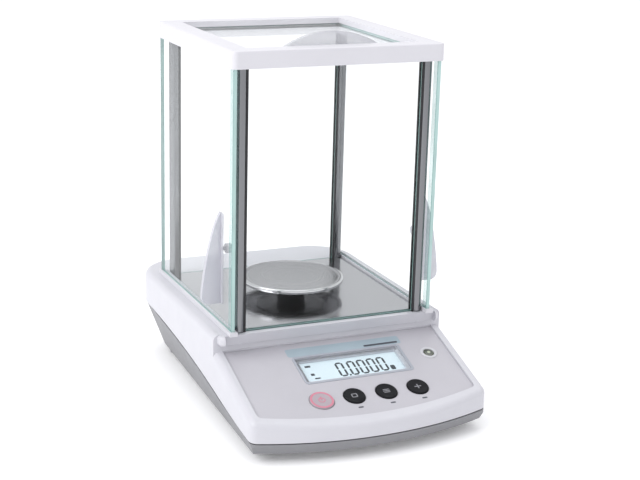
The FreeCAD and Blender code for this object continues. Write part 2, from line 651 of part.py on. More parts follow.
def rear_cutters():
    """Openings through the tray's rear wall: power inlet, serial port and lock slot."""
    deep = REAR_Y - TRAY_REAR_INSET - 3 * WALL
    out = REAR_Y + TRAY_REAR_OVERRUN
    inlet_radius = INLET_FLANGE_RADIUS + REAR_CLEARANCE
    inlet = cylinder(inlet_radius, Vector(INLET_X, deep, INLET_Z), Vector(INLET_X, out, INLET_Z))
    half_w = PORT_MOUTH_WIDTH / 2 + PORT_SHELL + REAR_CLEARANCE
    half_h = PORT_MOUTH_HEIGHT / 2 + PORT_SHELL + REAR_CLEARANCE
    port = box(PORT_X - half_w, PORT_X + half_w, deep, out, PORT_Z - half_h, PORT_Z + half_h)
    slot_w, slot_h = LOCK_SLOT
    slot = box(LOCK_X - slot_w / 2, LOCK_X + slot_w / 2, deep, out, LOCK_Z - slot_h / 2, LOCK_Z + slot_h / 2)
    return [inlet, port, slot]


# ---------------------------------------------------------------- control panel pieces
def control_panel():
    plate = panel_blank(0, -OVERLAY, 0)
    plate = plate.cut(window_blank(OVERLAY_CLEARANCE, -OVERLAY - 1, 1))
    for x, radius in zip(BUTTON_COLUMNS, button_radii()):
        plate = plate.cut(upright(radius + BUTTON_CLEARANCE, x, -BUTTON_ROW, -OVERLAY - 1, 1))
    lx, lv = LEVEL_CENTRE
    plate = plate.cut(upright(LEVEL_RADIUS + OVERLAY_CLEARANCE, lx, -lv, -OVERLAY - 1, 1))
    return on_panel(plate)


def display_window():
    return on_panel(window_blank(0, -WINDOW_THICKNESS, 0))


def lcd_module():
    return on_panel(window_blank(LCD_BORDER, UNDER_SKIN - LCD_THICKNESS, UNDER_SKIN))


def display_board():
    left, right = DISPLAY_BOARD_SPAN
    top, bottom = DISPLAY_BOARD_REACH
    return on_panel(box(left, right, -bottom, -top, -BOARD_DEPTH - BOARD, -BOARD_DEPTH))


def button(x, radius):
    """Round key cap with the flange that keeps it under the skin."""
    top = BUTTON_RISE
    cap = upright(radius, x, -BUTTON_ROW, UNDER_SKIN, top)
    cap = cap.makeFillet(BUTTON_EDGE_RADIUS, edges_on_plane(cap, Vector(0, 0, top), UP))
    flange = upright(radius + BUTTON_FLANGE, x, -BUTTON_ROW, UNDER_SKIN - BUTTON_FLANGE_HEIGHT, UNDER_SKIN)
    return on_panel(joined([cap, flange]))


def key_switches():
    """One switch on the display board under each key."""
    solids = []
    half = SWITCH_SIZE / 2
    body_top = -BOARD_DEPTH + SWITCH_HEIGHT
    stem_top = UNDER_SKIN - BUTTON_FLANGE_HEIGHT - BUTTON_TRAVEL - SWITCH_GAP
    for x in BUTTON_COLUMNS:
        body = box(x - half, x + half, -BUTTON_ROW - half, -BUTTON_ROW + half, -BOARD_DEPTH, body_top)
        stem = upright(SWITCH_STEM_RADIUS, x, -BUTTON_ROW, -BOARD_DEPTH, stem_top)
        solids.append(on_panel(joined([body, stem])))
    return Part.makeCompound(solids)


def level_body():
    lx, lv = LEVEL_CENTRE
    cup = upright(LEVEL_RADIUS, lx, -lv, -LEVEL_DEPTH, 0)
    bezel = upright(LEVEL_BEZEL_RADIUS, lx, -lv, 0, LEVEL_BEZEL)
    cup = joined([cup, bezel])
    inner = LEVEL_RADIUS - LEVEL_WALL
    return on_panel(cup.cut(upright(inner, lx, -lv, -LEVEL_DEPTH + LEVEL_WALL, LEVEL_BEZEL + 1)))


def level_vial():
    lx, lv = LEVEL_CENTRE
    inner = LEVEL_RADIUS - LEVEL_WALL
    return on_panel(upright(inner, lx, -lv, -LEVEL_DEPTH + LEVEL_WALL, LEVEL_BEZEL - LEVEL_FILL_DROP))


# ---------------------------------------------------------------- chamber floor
def floor_plate():
    half = RAIL_INNER_X - PLATE_CLEARANCE
    front = POST_FRONT_Y + GLASS / 2 + PLATE_CLEARANCE
    rear = POST_REAR_Y - GLASS / 2 - PLATE_CLEARANCE
    plate = box(-half, half, front, rear, DECK_HEIGHT, PLATE_TOP)
    for x, y in POST_POINTS:
        plate = plate.cut(upright(POST_RADIUS + PLATE_CLEARANCE, x, y, DECK_HEIGHT - 1, PLATE_TOP + 1))
    return plate.cut(upright(DECK_HOLE_RADIUS - 1, 0, CHAMBER_Y, DECK_HEIGHT - 1, PLATE_TOP + 1))


def door_rail():
    """Right-hand rail that a side door slides on, with a groove open to the rear."""
    rail = box(RAIL_INNER_X, SHIELD_HALF, SHIELD_FRONT, SHIELD_REAR, DECK_HEIGHT, DECK_HEIGHT + RAIL_HEIGHT)
    groove = box(
        DOOR_INNER_X - GLASS_CLEARANCE, DOOR_OUTER_X + GLASS_CLEARANCE,
        DOOR_FRONT_Y - PANE_EDGE_GAP, SHIELD_REAR + 1,
        DECK_HEIGHT + RAIL_HEIGHT - RAIL_GROOVE_DEPTH, DECK_HEIGHT + RAIL_HEIGHT + 1,
    )
    return rail.cut(groove)


def revolved(points):
    wire = Part.makePolygon([Vector(r, 0, z) for r, z in points] + [Vector(points[0][0], 0, points[0][1])])
    solid = Part.Face(wire).revolve(Vector(0, 0, 0), UP, 360)
    solid.translate(Vector(0, CHAMBER_Y, 0))
    return solid


def weighing_pan():
    """Pressed steel dish with a raised, turned-down rim."""
    floor = PAN_TOP - PAN_DISH
    inner = PAN_RADIUS - PAN_RIM_WIDTH
    under = inner + PAN_RIM_SHEET_SHIFT
    return revolved([
        (0, floor - PAN_SHEET), (0, floor), (inner, floor), (inner + PAN_RIM_SLOPE, PAN_TOP),
        (PAN_RADIUS - PAN_RIM_CHAMFER, PAN_TOP), (PAN_RADIUS, PAN_TOP - PAN_RIM_CHAMFER),
        (PAN_RADIUS, PAN_TOP - PAN_RIM_DROP), (PAN_RADIUS - PAN_SHEET, PAN_TOP - PAN_RIM_DROP),
        (PAN_RADIUS - PAN_SHEET, PAN_TOP - PAN_SHEET), (under + PAN_RIM_SLOPE, PAN_TOP - PAN_SHEET),
        (under, floor - PAN_SHEET),
    ])


def pan_support():
    """Hub with a flat disc that drops over the weigh cell's stem and carries the pan."""
    disc_top = PAN_UNDERSIDE
    disc_bottom = disc_top - SUPPORT_DISC
    hub_bottom = PLATE_TOP + SUPPORT_GAP
    bore_top = disc_bottom - SUPPORT_CAP
    return revolved([
        (0, disc_top), (SUPPORT_DISC_RADIUS, disc_top), (SUPPORT_DISC_RADIUS, disc_bottom),
        (SUPPORT_HUB_RADIUS + SUPPORT_FLARE, disc_bottom), (SUPPORT_HUB_RADIUS, disc_bottom - SUPPORT_FLARE),
        (SUPPORT_HUB_RADIUS, hub_bottom), (STEM_RADIUS + STEM_FIT, hub_bottom),
        (STEM_RADIUS + STEM_FIT, bore_top), (0, bore_top),
    ])


# ---------------------------------------------------------------- draft shield
def post(x, y):
    """Aluminium post with a groove for the fixed pane, socketed in the frame above."""
    solid = upright(POST_RADIUS, x, y, DECK_HEIGHT, FRAME_BOTTOM + POST_SOCKET_DEPTH)
    side = -1 if x > 0 else 1
    half = GLASS / 2 + GLASS_CLEARANCE
    bottom = x + side * (POST_RADIUS - POST_GROOVE_DEPTH)
    outside = x + side * (POST_RADIUS + 1)
    groove = box(min(bottom, outside), max(bottom, outside), y - half, y + half, DECK_HEIGHT - 1, FRAME_TOP)
    solid = solid.cut(groove)
    return solid.cut(upright(SCREW_PILOT_RADIUS, x, y, DECK_HEIGHT - 1, DECK_HEIGHT + SCREW_BITE))


def top_frame():
    """White frame round the top opening, grooved for the five panes."""
    frame = rounded_box(
        -SHIELD_HALF, SHIELD_HALF, SHIELD_FRONT, SHIELD_REAR, FRAME_BOTTOM, FRAME_TOP, FRAME_CORNER_RADIUS,
    )
    frame = frame.makeFillet(FRAME_EDGE_RADIUS, edges_on_plane(frame, Vector(0, 0, FRAME_TOP), UP))
    frame = frame.cut(box(-OPENING_X, OPENING_X, OPENING_FRONT, OPENING_REAR, FRAME_BOTTOM - 1, FRAME_TOP + 1))
    gap = GLASS_CLEARANCE
    groove_x = OPENING_X + TOP_GROOVE_DEPTH
    frame = frame.cut(box(
        -groove_x, groove_x, OPENING_FRONT - TOP_GROOVE_DEPTH, SHIELD_REAR + 1,
        TOP_GLASS_Z - gap, TOP_GLASS_Z + TOP_GLASS + gap,
    ))
    for side in (-1, 1):
        near = side * (DOOR_INNER_X - gap)
        far = side * (DOOR_OUTER_X + gap)
        frame = frame.cut(box(
            min(near, far), max(near, far), DOOR_FRONT_Y - PANE_EDGE_GAP, SHIELD_REAR + 1,
            FRAME_BOTTOM - 1, FRAME_BOTTOM + DOOR_GROOVE_DEPTH,
        ))
    half = GLASS / 2 + gap
    for y in (POST_FRONT_Y, POST_REAR_Y):
        groove_top = FRAME_BOTTOM + FIXED_GROOVE_DEPTH
        frame = frame.cut(box(-POST_X, POST_X, y - half, y + half, FRAME_BOTTOM - 1, groove_top))
    for x, y in POST_POINTS:
        frame = frame.cut(upright(POST_RADIUS + STEM_FIT, x, y, FRAME_BOTTOM - 1, FRAME_BOTTOM + POST_SOCKET_DEPTH))
    return frame


def fixed_pane(y):
    """Front or rear pane, held in the grooves of two posts and the frame."""
    half = POST_X - POST_RADIUS + POST_GROOVE_DEPTH - PANE_EDGE_GAP
    top = FRAME_BOTTOM + FIXED_GROOVE_DEPTH - PANE_EDGE_GAP
    return box(-half, half, y - GLASS / 2, y + GLASS / 2, DECK_HEIGHT, top)


def side_door():
    """Right-hand sliding pane with the hole for its grip screw."""
    bottom = DECK_HEIGHT + RAIL_HEIGHT - RAIL_GROOVE_DEPTH + RUNNING_GAP
    top = FRAME_BOTTOM + DOOR_GROOVE_DEPTH - PANE_EDGE_GAP
    pane = box(DOOR_INNER_X, DOOR_OUTER_X, DOOR_FRONT_Y, SHIELD_REAR - DOOR_REAR_GAP, bottom, top)
    hole = cylinder(
        GRIP_SCREW_RADIUS + GLASS_CLEARANCE, Vector(DOOR_INNER_X - 1, GRIP_Y, KNOB_Z),
        Vector(DOOR_OUTER_X + 1, GRIP_Y, KNOB_Z),
    )
    return pane.cut(hole)


def top_door():
    """Top pane, which slides rearwards in the frame's side grooves."""
    half = OPENING_X + TOP_GROOVE_DEPTH - PANE_EDGE_GAP
    front = OPENING_FRONT - TOP_GROOVE_DEPTH + PANE_EDGE_GAP
    return box(-half, half, front, SHIELD_REAR - DOOR_REAR_GAP, TOP_GLASS_Z, TOP_GLASS_Z + TOP_GLASS)


def door_grip():
    """Sail-shaped grip that stands out from the right-hand door, screwed through the pane."""
    start_back, middle_back, middle_up, end_up = GRIP_NOSE

    def at(reach, height):
        return Vector(DOOR_OUTER_X + reach, GRIP_Y - GRIP_THICKNESS / 2, GRIP_BOTTOM_Z + height)

    edge = Part.BezierCurve()
    middle = [at(GRIP_REACH * share, height) for share, height in GRIP_CURVE]
    edge.setPoles([at(GRIP_REACH, end_up)] + middle + [at(GRIP_TIP, GRIP_HEIGHT)])
    nose_start = at(GRIP_REACH - start_back, 0)
    rounding = Part.Arc(nose_start, at(GRIP_REACH - middle_back, middle_up), at(GRIP_REACH, end_up))
    outline = [
        edge.toShape(),
        Part.LineSegment(at(GRIP_TIP, GRIP_HEIGHT), at(0, GRIP_HEIGHT)).toShape(),
        Part.LineSegment(at(0, GRIP_HEIGHT), at(0, 0)).toShape(),
        Part.LineSegment(at(0, 0), nose_start).toShape(),
        rounding.toShape(),
    ]
    fin = Part.Face(Part.Wire(outline)).extrude(Vector(0, GRIP_THICKNESS, 0))
    foot = box(
        DOOR_OUTER_X, DOOR_OUTER_X + GRIP_FOOT, GRIP_Y - GRIP_FOOT_HALF_WIDTH, GRIP_Y + GRIP_FOOT_HALF_WIDTH,
        GRIP_BOTTOM_Z, GRIP_BOTTOM_Z + GRIP_HEIGHT,
    )
    return joined([fin, foot])


def door_knob():
    """Inner knob and screw that hold the grip on the right-hand pane."""
    x0 = DOOR_INNER_X
    knob = cylinder(KNOB_RADIUS, Vector(x0 - KNOB_REACH, GRIP_Y, KNOB_Z), Vector(x0, GRIP_Y, KNOB_Z))
    rim = edges_on_plane(knob, Vector(x0 - KNOB_REACH, 0, 0), RIGHT)
    knob = knob.makeFillet(KNOB_EDGE_RADIUS, rim)
    screw = cylinder(GRIP_SCREW_RADIUS, Vector(x0 - 1, GRIP_Y, KNOB_Z), Vector(DOOR_OUTER_X, GRIP_Y, KNOB_Z))
    return joined([knob, screw])


def top_grip():
    """Arched grip that stands on the top pane behind the front border."""
    z0 = TOP_GLASS_Z + TOP_GLASS
    y0 = OPENING_FRONT + ARCH_FROM_OPENING
    half = ARCH_WIDTH / 2
    shoulder = z0 + ARCH_SHOULDER
    arc = Part.Arc(Vector(-half, y0, shoulder), Vector(0, y0, z0 + ARCH_RISE), Vector(half, y0, shoulder))
    outline = [
        arc.toShape(),
        Part.LineSegment(Vector(half, y0, shoulder), Vector(half, y0, z0)).toShape(),
        Part.LineSegment(Vector(half, y0, z0), Vector(-half, y0, z0)).toShape(),
        Part.LineSegment(Vector(-half, y0, z0), Vector(-half, y0, shoulder)).toShape(),
    ]
    return Part.Face(Part.Wire(outline)).extrude(Vector(0, GRIP_THICKNESS, 0))


# ---------------------------------------------------------------- feet
def foot_pad(x):
    return upright(FOOT_PAD_RADIUS, x, FOOT_Y, 0, FOOT_PAD_HEIGHT)


def foot_wheel(x):
    """Notched thumb wheel with its threaded stud."""
    z0 = FOOT_PAD_HEIGHT + FOOT_GAP
    wheel = upright(FOOT_WHEEL_RADIUS, x, FOOT_Y, z0, z0 + FOOT_WHEEL_HEIGHT)
    stud = upright(FOOT_STUD_RADIUS, x, FOOT_Y, z0, z0 + FOOT_WHEEL_HEIGHT + FOOT_STUD_LENGTH)
    solid = joined([wheel, stud])
    for i in range(FOOT_NOTCHES):
        angle = 2 * math.pi * i / FOOT_NOTCHES
        nx = x + FOOT_WHEEL_RADIUS * math.cos(angle)
        ny = FOOT_Y + FOOT_WHEEL_RADIUS * math.sin(angle)
        solid = solid.cut(upright(FOOT_NOTCH_RADIUS, nx, ny, z0 - 1, z0 + FOOT_WHEEL_HEIGHT + 0.1))
    return solid


def front_feet():
    solids = []
    for x, y in FRONT_FOOT_POINTS:
        foot = upright(FRONT_FOOT_RADIUS, x, y, 0, GROUND_CLEARANCE + FRONT_FOOT_SEAT)
        rim = edges_on_plane(foot, Vector(0, 0, 0), UP)
        solids.append(foot.makeFillet(FRONT_FOOT_EDGE_RADIUS, rim))
    return Part.makeCompound(solids)


# ---------------------------------------------------------------- fasteners
def housing_screws():
    """Four pan-head screws, driven from below, that hold the two housing halves together."""
    recess_radius, recess_depth = SCREW_RECESS
    solids = []
    for x, y in SCREW_POINTS:
        head = upright(SCREW_HEAD_RADIUS, x, y, HEAD_Z, HEAD_Z + SCREW_HEAD)
        shank = upright(SCREW_PILOT_RADIUS - SCREW_FIT, x, y, HEAD_Z + SCREW_HEAD, BOSS_SPLIT_Z + SCREW_BITE)
        recess = upright(recess_radius, x, y, HEAD_Z - 1, HEAD_Z + recess_depth)
        solids.append(joined([head, shank]).cut(recess))
    return Part.makeCompound(solids)


def post_studs():
    """Threaded studs that hold the posts down on the bosses under the deck."""
    radius = SCREW_PILOT_RADIUS - SCREW_FIT
    top = DECK_HEIGHT + SCREW_BITE - POST_STUD_ROOM
    return Part.makeCompound([upright(radius, x, y, STUD_HOLE_Z + POST_STUD_ROOM, top) for x, y in POST_POINTS])


# ---------------------------------------------------------------- weigh cell
def cell_frame():
    """Rigid casting: a floor slab and the tower that the guides are clamped to."""
    half = CELL_WIDTH / 2
    slab = box(-half, half, CELL_FRONT, CELL_REAR, HOUSING_FLOOR, CELL_FLOOR)
    tower = box(-half, half, TOWER_FRONT, TOWER_REAR, HOUSING_FLOOR, CELL_TOP - GUIDE)
    arch = box(
        -ARCH_HALF_WIDTH, ARCH_HALF_WIDTH, TOWER_FRONT - 1, TOWER_REAR + 1,
        BEAM_Z - ARCH_UNDER, BEAM_Z + BEAM_HEIGHT + ARCH_OVER,
    )
    return joined([slab, tower]).cut(arch)


def guide_plate(z, end):
    """Flat blade from the front of the cell to the tower, thinned by a window."""
    half = CELL_WIDTH / 2
    blade = box(-half, half, CELL_FRONT, end, z, z + GUIDE)
    window = box(
        GUIDE_BORDER - half, half - GUIDE_BORDER, CELL_FRONT + RECEIVER_LENGTH + GUIDE_CLAMP,
        TOWER_FRONT - GUIDE_CLAMP, z - 1, z + GUIDE + 1,
    )
    return blade.cut(window)


def guide_plates():
    """Upper and lower parallel guides that keep the load receiver upright."""
    upper = guide_plate(CELL_TOP - GUIDE, TOWER_REAR)
    lower = guide_plate(CELL_FLOOR + GUIDE_LIFT, TOWER_FRONT)
    return Part.makeCompound([upper, lower])


def load_receiver():
    """Carrier between the guides, under the stem that comes up through the deck."""
    half = CELL_WIDTH / 2 - RECEIVER_STEP
    bottom = CELL_FLOOR + GUIDE_LIFT + GUIDE
    top = CELL_TOP - GUIDE
    block = box(-half, half, CELL_FRONT, CELL_FRONT + RECEIVER_LENGTH, bottom, top)
    slot_half = BEAM_HALF_WIDTH + BEAM_SIDE_GAP
    slot = box(
        -slot_half, slot_half, CELL_FRONT + BEAM_START, CELL_FRONT + RECEIVER_LENGTH + 1,
        BEAM_Z - BEAM_SLOT_GAP, BEAM_Z + BEAM_HEIGHT + BEAM_SLOT_GAP,
    )
    arm = box(
        -RECEIVER_ARM_HALF_WIDTH, RECEIVER_ARM_HALF_WIDTH, CELL_FRONT - RECEIVER_ARM, CELL_FRONT,
        bottom + RECEIVER_ARM_LIFT, top,
    )
    return joined([block.cut(slot), arm])


def pan_stem():
    """Steel bridge on top of the cell with the upright stem on the pan's axis."""
    half = RECEIVER_ARM_HALF_WIDTH
    bridge = box(
        -half, half, CELL_FRONT - RECEIVER_ARM, CHAMBER_Y + BRIDGE_OVERRUN, CELL_TOP, CELL_TOP + BRIDGE_THICKNESS,
    )
    tip = PAN_UNDERSIDE - SUPPORT_DISC - SUPPORT_CAP - STEM_END_GAP
    return joined([bridge, upright(STEM_RADIUS, 0, CHAMBER_Y, CELL_TOP, tip)])


def balance_beam():
    """Lever from the receiver, through the tower, to the plate that carries the coil."""
    beam = box(
        -BEAM_HALF_WIDTH, BEAM_HALF_WIDTH, CELL_FRONT + BEAM_START, MAGNET_Y + BEAM_HALF_WIDTH,
        BEAM_Z, BEAM_Z + BEAM_HEIGHT,
    )
    return joined([beam, upright(COIL[1], 0, MAGNET_Y, BEAM_Z - COIL_PLATE, BEAM_Z)])


def magnet_pot():
    """Round magnet with the ring-shaped slot that the coil hangs in."""
    slot_inner, slot_outer, slot_floor = MAGNET_SLOT
    top = CELL_FLOOR + MAGNET_HEIGHT
    pot = upright(MAGNET_RADIUS, 0, MAGNET_Y, CELL_FLOOR, top)
    return pot.cut(ring(slot_outer, slot_inner, 0, MAGNET_Y, CELL_FLOOR + slot_floor, top + 1))


def coil():
    inner, outer, lift = COIL
    return ring(outer, inner, 0, MAGNET_Y, CELL_FLOOR + lift, BEAM_Z - COIL_PLATE)


# ---------------------------------------------------------------- main board
def main_board():
    left, right = MAIN_BOARD_X
    front, rear = MAIN_BOARD_Y
    return box(left, right, front, rear, MAIN_BOARD_Z, MAIN_BOARD_Z + BOARD)


def board_standoffs():
    solids = []
    for x in (MAIN_BOARD_X[0] + STANDOFF_INSET, MAIN_BOARD_X[1] - STANDOFF_INSET):
        for y in (MAIN_BOARD_Y[0] + STANDOFF_INSET, MAIN_BOARD_Y[1] - STANDOFF_INSET):
            solids.append(upright(STANDOFF_RADIUS, x, y, HOUSING_FLOOR, MAIN_BOARD_Z))
    return Part.makeCompound(solids)


def ribbon_cable():
    """Flat cable that lies on the main board and turns up towards the display board."""
    z0 = MAIN_BOARD_Z + BOARD
    y0 = MAIN_BOARD_Y[0] + CABLE_OVERLAP
    turn = PANEL_ORIGIN.y - CABLE_TURN
    end = turn - CABLE_RUN
    top = slope_z(end - CABLE, -BOARD_DEPTH - BOARD) - CABLE_GAP
    profile = [
        (y0, z0), (y0, z0 + CABLE), (turn, z0 + CABLE), (end, top), (end - CABLE, top), (turn - CABLE, z0),
    ]
    left = MAIN_BOARD_LEFT + CABLE_INSET
    return polygon_prism([Vector(left, y, z) for y, z in profile], Vector(CABLE_WIDTH, 0, 0))


# ---------------------------------------------------------------- rear interfaces
def power_inlet():
    """Barrel socket with its centre pin, moulded square behind the wall."""
    face = rear_face_y(INLET_Z) + REAR_PROUD
    block_rear = behind_wall_y(INLET_Z - INLET_BODY / 2, INLET_WALL_GAP)
    nose = cylinder(INLET_FLANGE_RADIUS, Vector(INLET_X, block_rear, INLET_Z), Vector(INLET_X, face, INLET_Z))
    half = INLET_BODY / 2
    block = box(
        INLET_X - half, INLET_X + half, block_rear - INLET_BODY_DEPTH, block_rear, INLET_Z - half, INLET_Z + half,
    )
    bottom = face - INLET_BORE_DEPTH
    bore = cylinder(INLET_BORE_RADIUS, Vector(INLET_X, bottom, INLET_Z), Vector(INLET_X, face + 1, INLET_Z))
    pin_end = Vector(INLET_X, face - INLET_PIN_DROP, INLET_Z)
    pin = cylinder(INLET_PIN_RADIUS, Vector(INLET_X, bottom - 1, INLET_Z), pin_end)
    return joined([joined([nose, block]).cut(bore), pin])


def serial_port():
    """Nine-way D-shaped socket: its shell through the wall and its body behind it."""
    face = rear_face_y(PORT_Z) + REAR_PROUD
    body_rear = behind_wall_y(PORT_Z - PORT_HEIGHT / 2, PORT_WALL_GAP)
    half_w = PORT_WIDTH / 2
    half_h = PORT_HEIGHT / 2
    body = box(
        PORT_X - half_w, PORT_X + half_w, body_rear - PORT_BODY_DEPTH, body_rear, PORT_Z - half_h, PORT_Z + half_h,
    )
    mouth_w = PORT_MOUTH_WIDTH / 2
    mouth_h = PORT_MOUTH_HEIGHT / 2
    shell = d_prism(mouth_w + PORT_SHELL, mouth_h + PORT_SHELL, body_rear, face)
    return joined([body, shell]).cut(d_prism(mouth_w, mouth_h, face - PORT_MOUTH_DEPTH, face + 1))


def d_prism(half_w, half_h, y0, y1):
    """Prism with the D outline of the serial port: wider at the top than at the bottom."""
    lean = half_h * 2 * math.tan(math.radians(PORT_SIDE_ANGLE))
    points = [
        Vector(PORT_X - half_w, y0, PORT_Z + half_h), Vector(PORT_X + half_w, y0, PORT_Z + half_h),
        Vector(PORT_X + half_w - lean, y0, PORT_Z - half_h), Vector(PORT_X - half_w + lean, y0, PORT_Z - half_h),
    ]
    return polygon_prism(points, Vector(0, y1 - y0, 0))


def lock_plate():
    """Steel plate behind the security slot."""
    width, height, thick = LOCK_PLATE
    slot_w, slot_h = LOCK_SLOT
    inner = behind_wall_y(LOCK_Z - height / 2, LOCK_PLATE_GAP)
    plate = box(
        LOCK_X - width / 2, LOCK_X + width / 2, inner - thick, inner, LOCK_Z - height / 2, LOCK_Z + height / 2,
    )
    slot = box(
        LOCK_X - slot_w / 2, LOCK_X + slot_w / 2, inner - thick - 1, inner + 1,
        LOCK_Z - slot_h / 2, LOCK_Z + slot_h / 2,
    )
    return plate.cut(slot)


def label_blank(proud):
    """Block over the rating plate's place, from its bed to `proud` outside the rear face."""
    low, high = LABEL_Z
    return box(-LABEL_HALF_WIDTH, LABEL_HALF_WIDTH, REAR_Y - LABEL, REAR_Y + proud, low, high)


def hook_cover():
    """Cap over the weigh-below opening in the bottom."""
    flange = upright(HOOK_FLANGE_RADIUS, 0, CHAMBER_Y, GROUND_CLEARANCE - HOOK_FLANGE, GROUND_CLEARANCE)
    plug = upright(HOOK_PLUG_RADIUS, 0, CHAMBER_Y, GROUND_CLEARANCE, HOUSING_FLOOR)
    return joined([flange, plug])


# ---------------------------------------------------------------- export
def all_parts():
    buttons = ("power_button", "zero_button", "unit_button", "send_button")
    parts = {
        "upper_housing": upper_housing(),
        "lower_housing": lower_housing(),
        "control_panel": control_panel(),
        "display_window": display_window(),
        "lcd_module": lcd_module(),
        "display_board": display_board(),
        "key_switches": key_switches(),
        "level_body": level_body(),
        "level_vial": level_vial(),
        "floor_plate": floor_plate(),
        "right_door_rail": door_rail(),
        "left_door_rail": mirrored(door_rail()),
        "weighing_pan": weighing_pan(),
        "pan_support": pan_support(),
        "top_frame": top_frame(),
        "front_glass": fixed_pane(POST_FRONT_Y),
        "rear_glass": fixed_pane(POST_REAR_Y),
        "right_door_glass": side_door(),
        "left_door_glass": mirrored(side_door()),
        "top_door_glass": top_door(),
        "right_door_grip": door_grip(),
        "left_door_grip": mirrored(door_grip()),
        "right_door_knob": door_knob(),
        "left_door_knob": mirrored(door_knob()),
        "top_door_grip": top_grip(),
        "front_feet": front_feet(),
        "housing_screws": housing_screws(),
        "post_studs": post_studs(),
        "cell_frame": cell_frame(),
        "cell_guides": guide_plates(),
        "load_receiver": load_receiver(),
        "pan_stem": pan_stem(),
        "balance_beam": balance_beam(),
        "magnet_pot": magnet_pot(),
        "coil": coil(),
        "main_board": main_board(),
        "board_standoffs": board_standoffs(),
        "ribbon_cable": ribbon_cable(),
        "power_inlet": power_inlet(),
        "serial_port": serial_port(),
        "lock_plate": lock_plate(),
        "rating_label": label_blank(0),
        "hook_cover": hook_cover(),
    }
    for name, x, radius in zip(buttons, BUTTON_COLUMNS, button_radii()):
        parts[name] = button(x, radius)
    for side, x in (("left", -FOOT_X), ("right", FOOT_X)):
        parts[side + "_foot_pad"] = foot_pad(x)
        parts[side + "_foot_wheel"] = foot_wheel(x)
    for name, (x, y) in zip(("left_front", "left_rear", "right_front", "right_rear"), POST_POINTS):
        parts[name + "_post"] = post(x, y)
    return parts


def main():
    os.makedirs("parts", exist_ok=True)
    for name, shape in all_parts().items():
        shape.exportStep(os.path.join("parts", name + ".step"))


main()
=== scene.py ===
import math

import bmesh
import bpy
from mathutils import Matrix, Vector


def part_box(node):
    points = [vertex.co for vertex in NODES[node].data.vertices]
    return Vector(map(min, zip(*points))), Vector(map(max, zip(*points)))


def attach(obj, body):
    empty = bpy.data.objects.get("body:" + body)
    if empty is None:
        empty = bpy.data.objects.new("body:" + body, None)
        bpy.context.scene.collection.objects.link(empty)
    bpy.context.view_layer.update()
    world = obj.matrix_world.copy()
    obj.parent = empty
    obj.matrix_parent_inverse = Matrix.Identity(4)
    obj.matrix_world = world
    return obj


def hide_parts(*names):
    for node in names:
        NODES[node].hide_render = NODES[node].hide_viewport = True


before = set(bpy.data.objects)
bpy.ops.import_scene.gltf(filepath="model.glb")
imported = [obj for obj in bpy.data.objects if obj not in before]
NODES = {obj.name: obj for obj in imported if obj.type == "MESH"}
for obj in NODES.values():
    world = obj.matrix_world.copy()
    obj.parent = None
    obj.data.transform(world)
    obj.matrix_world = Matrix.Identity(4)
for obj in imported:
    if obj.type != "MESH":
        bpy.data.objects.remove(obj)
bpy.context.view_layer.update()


MM = 0.001


# ---------------------------------------------------------------- places read from the frame
def box_of(node):
    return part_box(node)


def centre_of(node):
    low, high = box_of(node)
    return (low + high) / 2


PANEL_ANGLE = math.radians(18.5)
PANEL_THICKNESS = 1.2 * MM
PANEL_LOW, PANEL_HIGH = box_of("control_panel")
PANEL_ORIGIN = Vector((0, PANEL_HIGH.y - PANEL_THICKNESS * math.sin(PANEL_ANGLE), PANEL_HIGH.z))
PANEL_MATRIX = Matrix.Translation(PANEL_ORIGIN) @ Matrix.Rotation(PANEL_ANGLE, 4, "X")
PAN_CENTRE = centre_of("weighing_pan")


# ---------------------------------------------------------------- materials
def new_material(name):
    material = bpy.data.materials.new(name)
    material.use_nodes = True
    nodes = material.node_tree.nodes
    return material, nodes, material.node_tree.links, nodes["Principled BSDF"]


def object_coordinates(nodes, links, scale=(1, 1, 1)):
    coordinates = nodes.new("ShaderNodeTexCoord")
    mapping = nodes.new("ShaderNodeMapping")
    mapping.inputs["Scale"].default_value = scale
    links.new(coordinates.outputs["Object"], mapping.inputs["Vector"])
    return mapping.outputs["Vector"]


def noise(nodes, links, vector, scale, detail=4.0):
    texture = nodes.new("ShaderNodeTexNoise")
    texture.inputs["Scale"].default_value = scale
    texture.inputs["Detail"].default_value = detail
    links.new(vector, texture.inputs["Vector"])
    return texture.outputs["Fac"]


def remap(nodes, links, value, low, high):
    spread = nodes.new("ShaderNodeMapRange")
    spread.inputs["From Min"].default_value = 0.3
    spread.inputs["From Max"].default_value = 0.7
    spread.inputs["To Min"].default_value = low
    spread.inputs["To Max"].default_value = high
    links.new(value, spread.inputs["Value"])
    return spread.outputs["Result"]


def shade_between(nodes, links, factor, dark, light):
    mix = nodes.new("ShaderNodeMix")
    mix.data_type = "RGBA"
    mix.inputs["A"].default_value = (*dark, 1)
    mix.inputs["B"].default_value = (*light, 1)
    links.new(factor, mix.inputs["Factor"])
    return mix.outputs["Result"]


def add_bump(nodes, links, shader, height, strength, distance=0.0002):
    bump = nodes.new("ShaderNodeBump")
    bump.inputs["Strength"].default_value = strength
    bump.inputs["Distance"].default_value = distance
    links.new(height, bump.inputs["Height"])
    links.new(bump.outputs["Normal"], shader.inputs["Normal"])


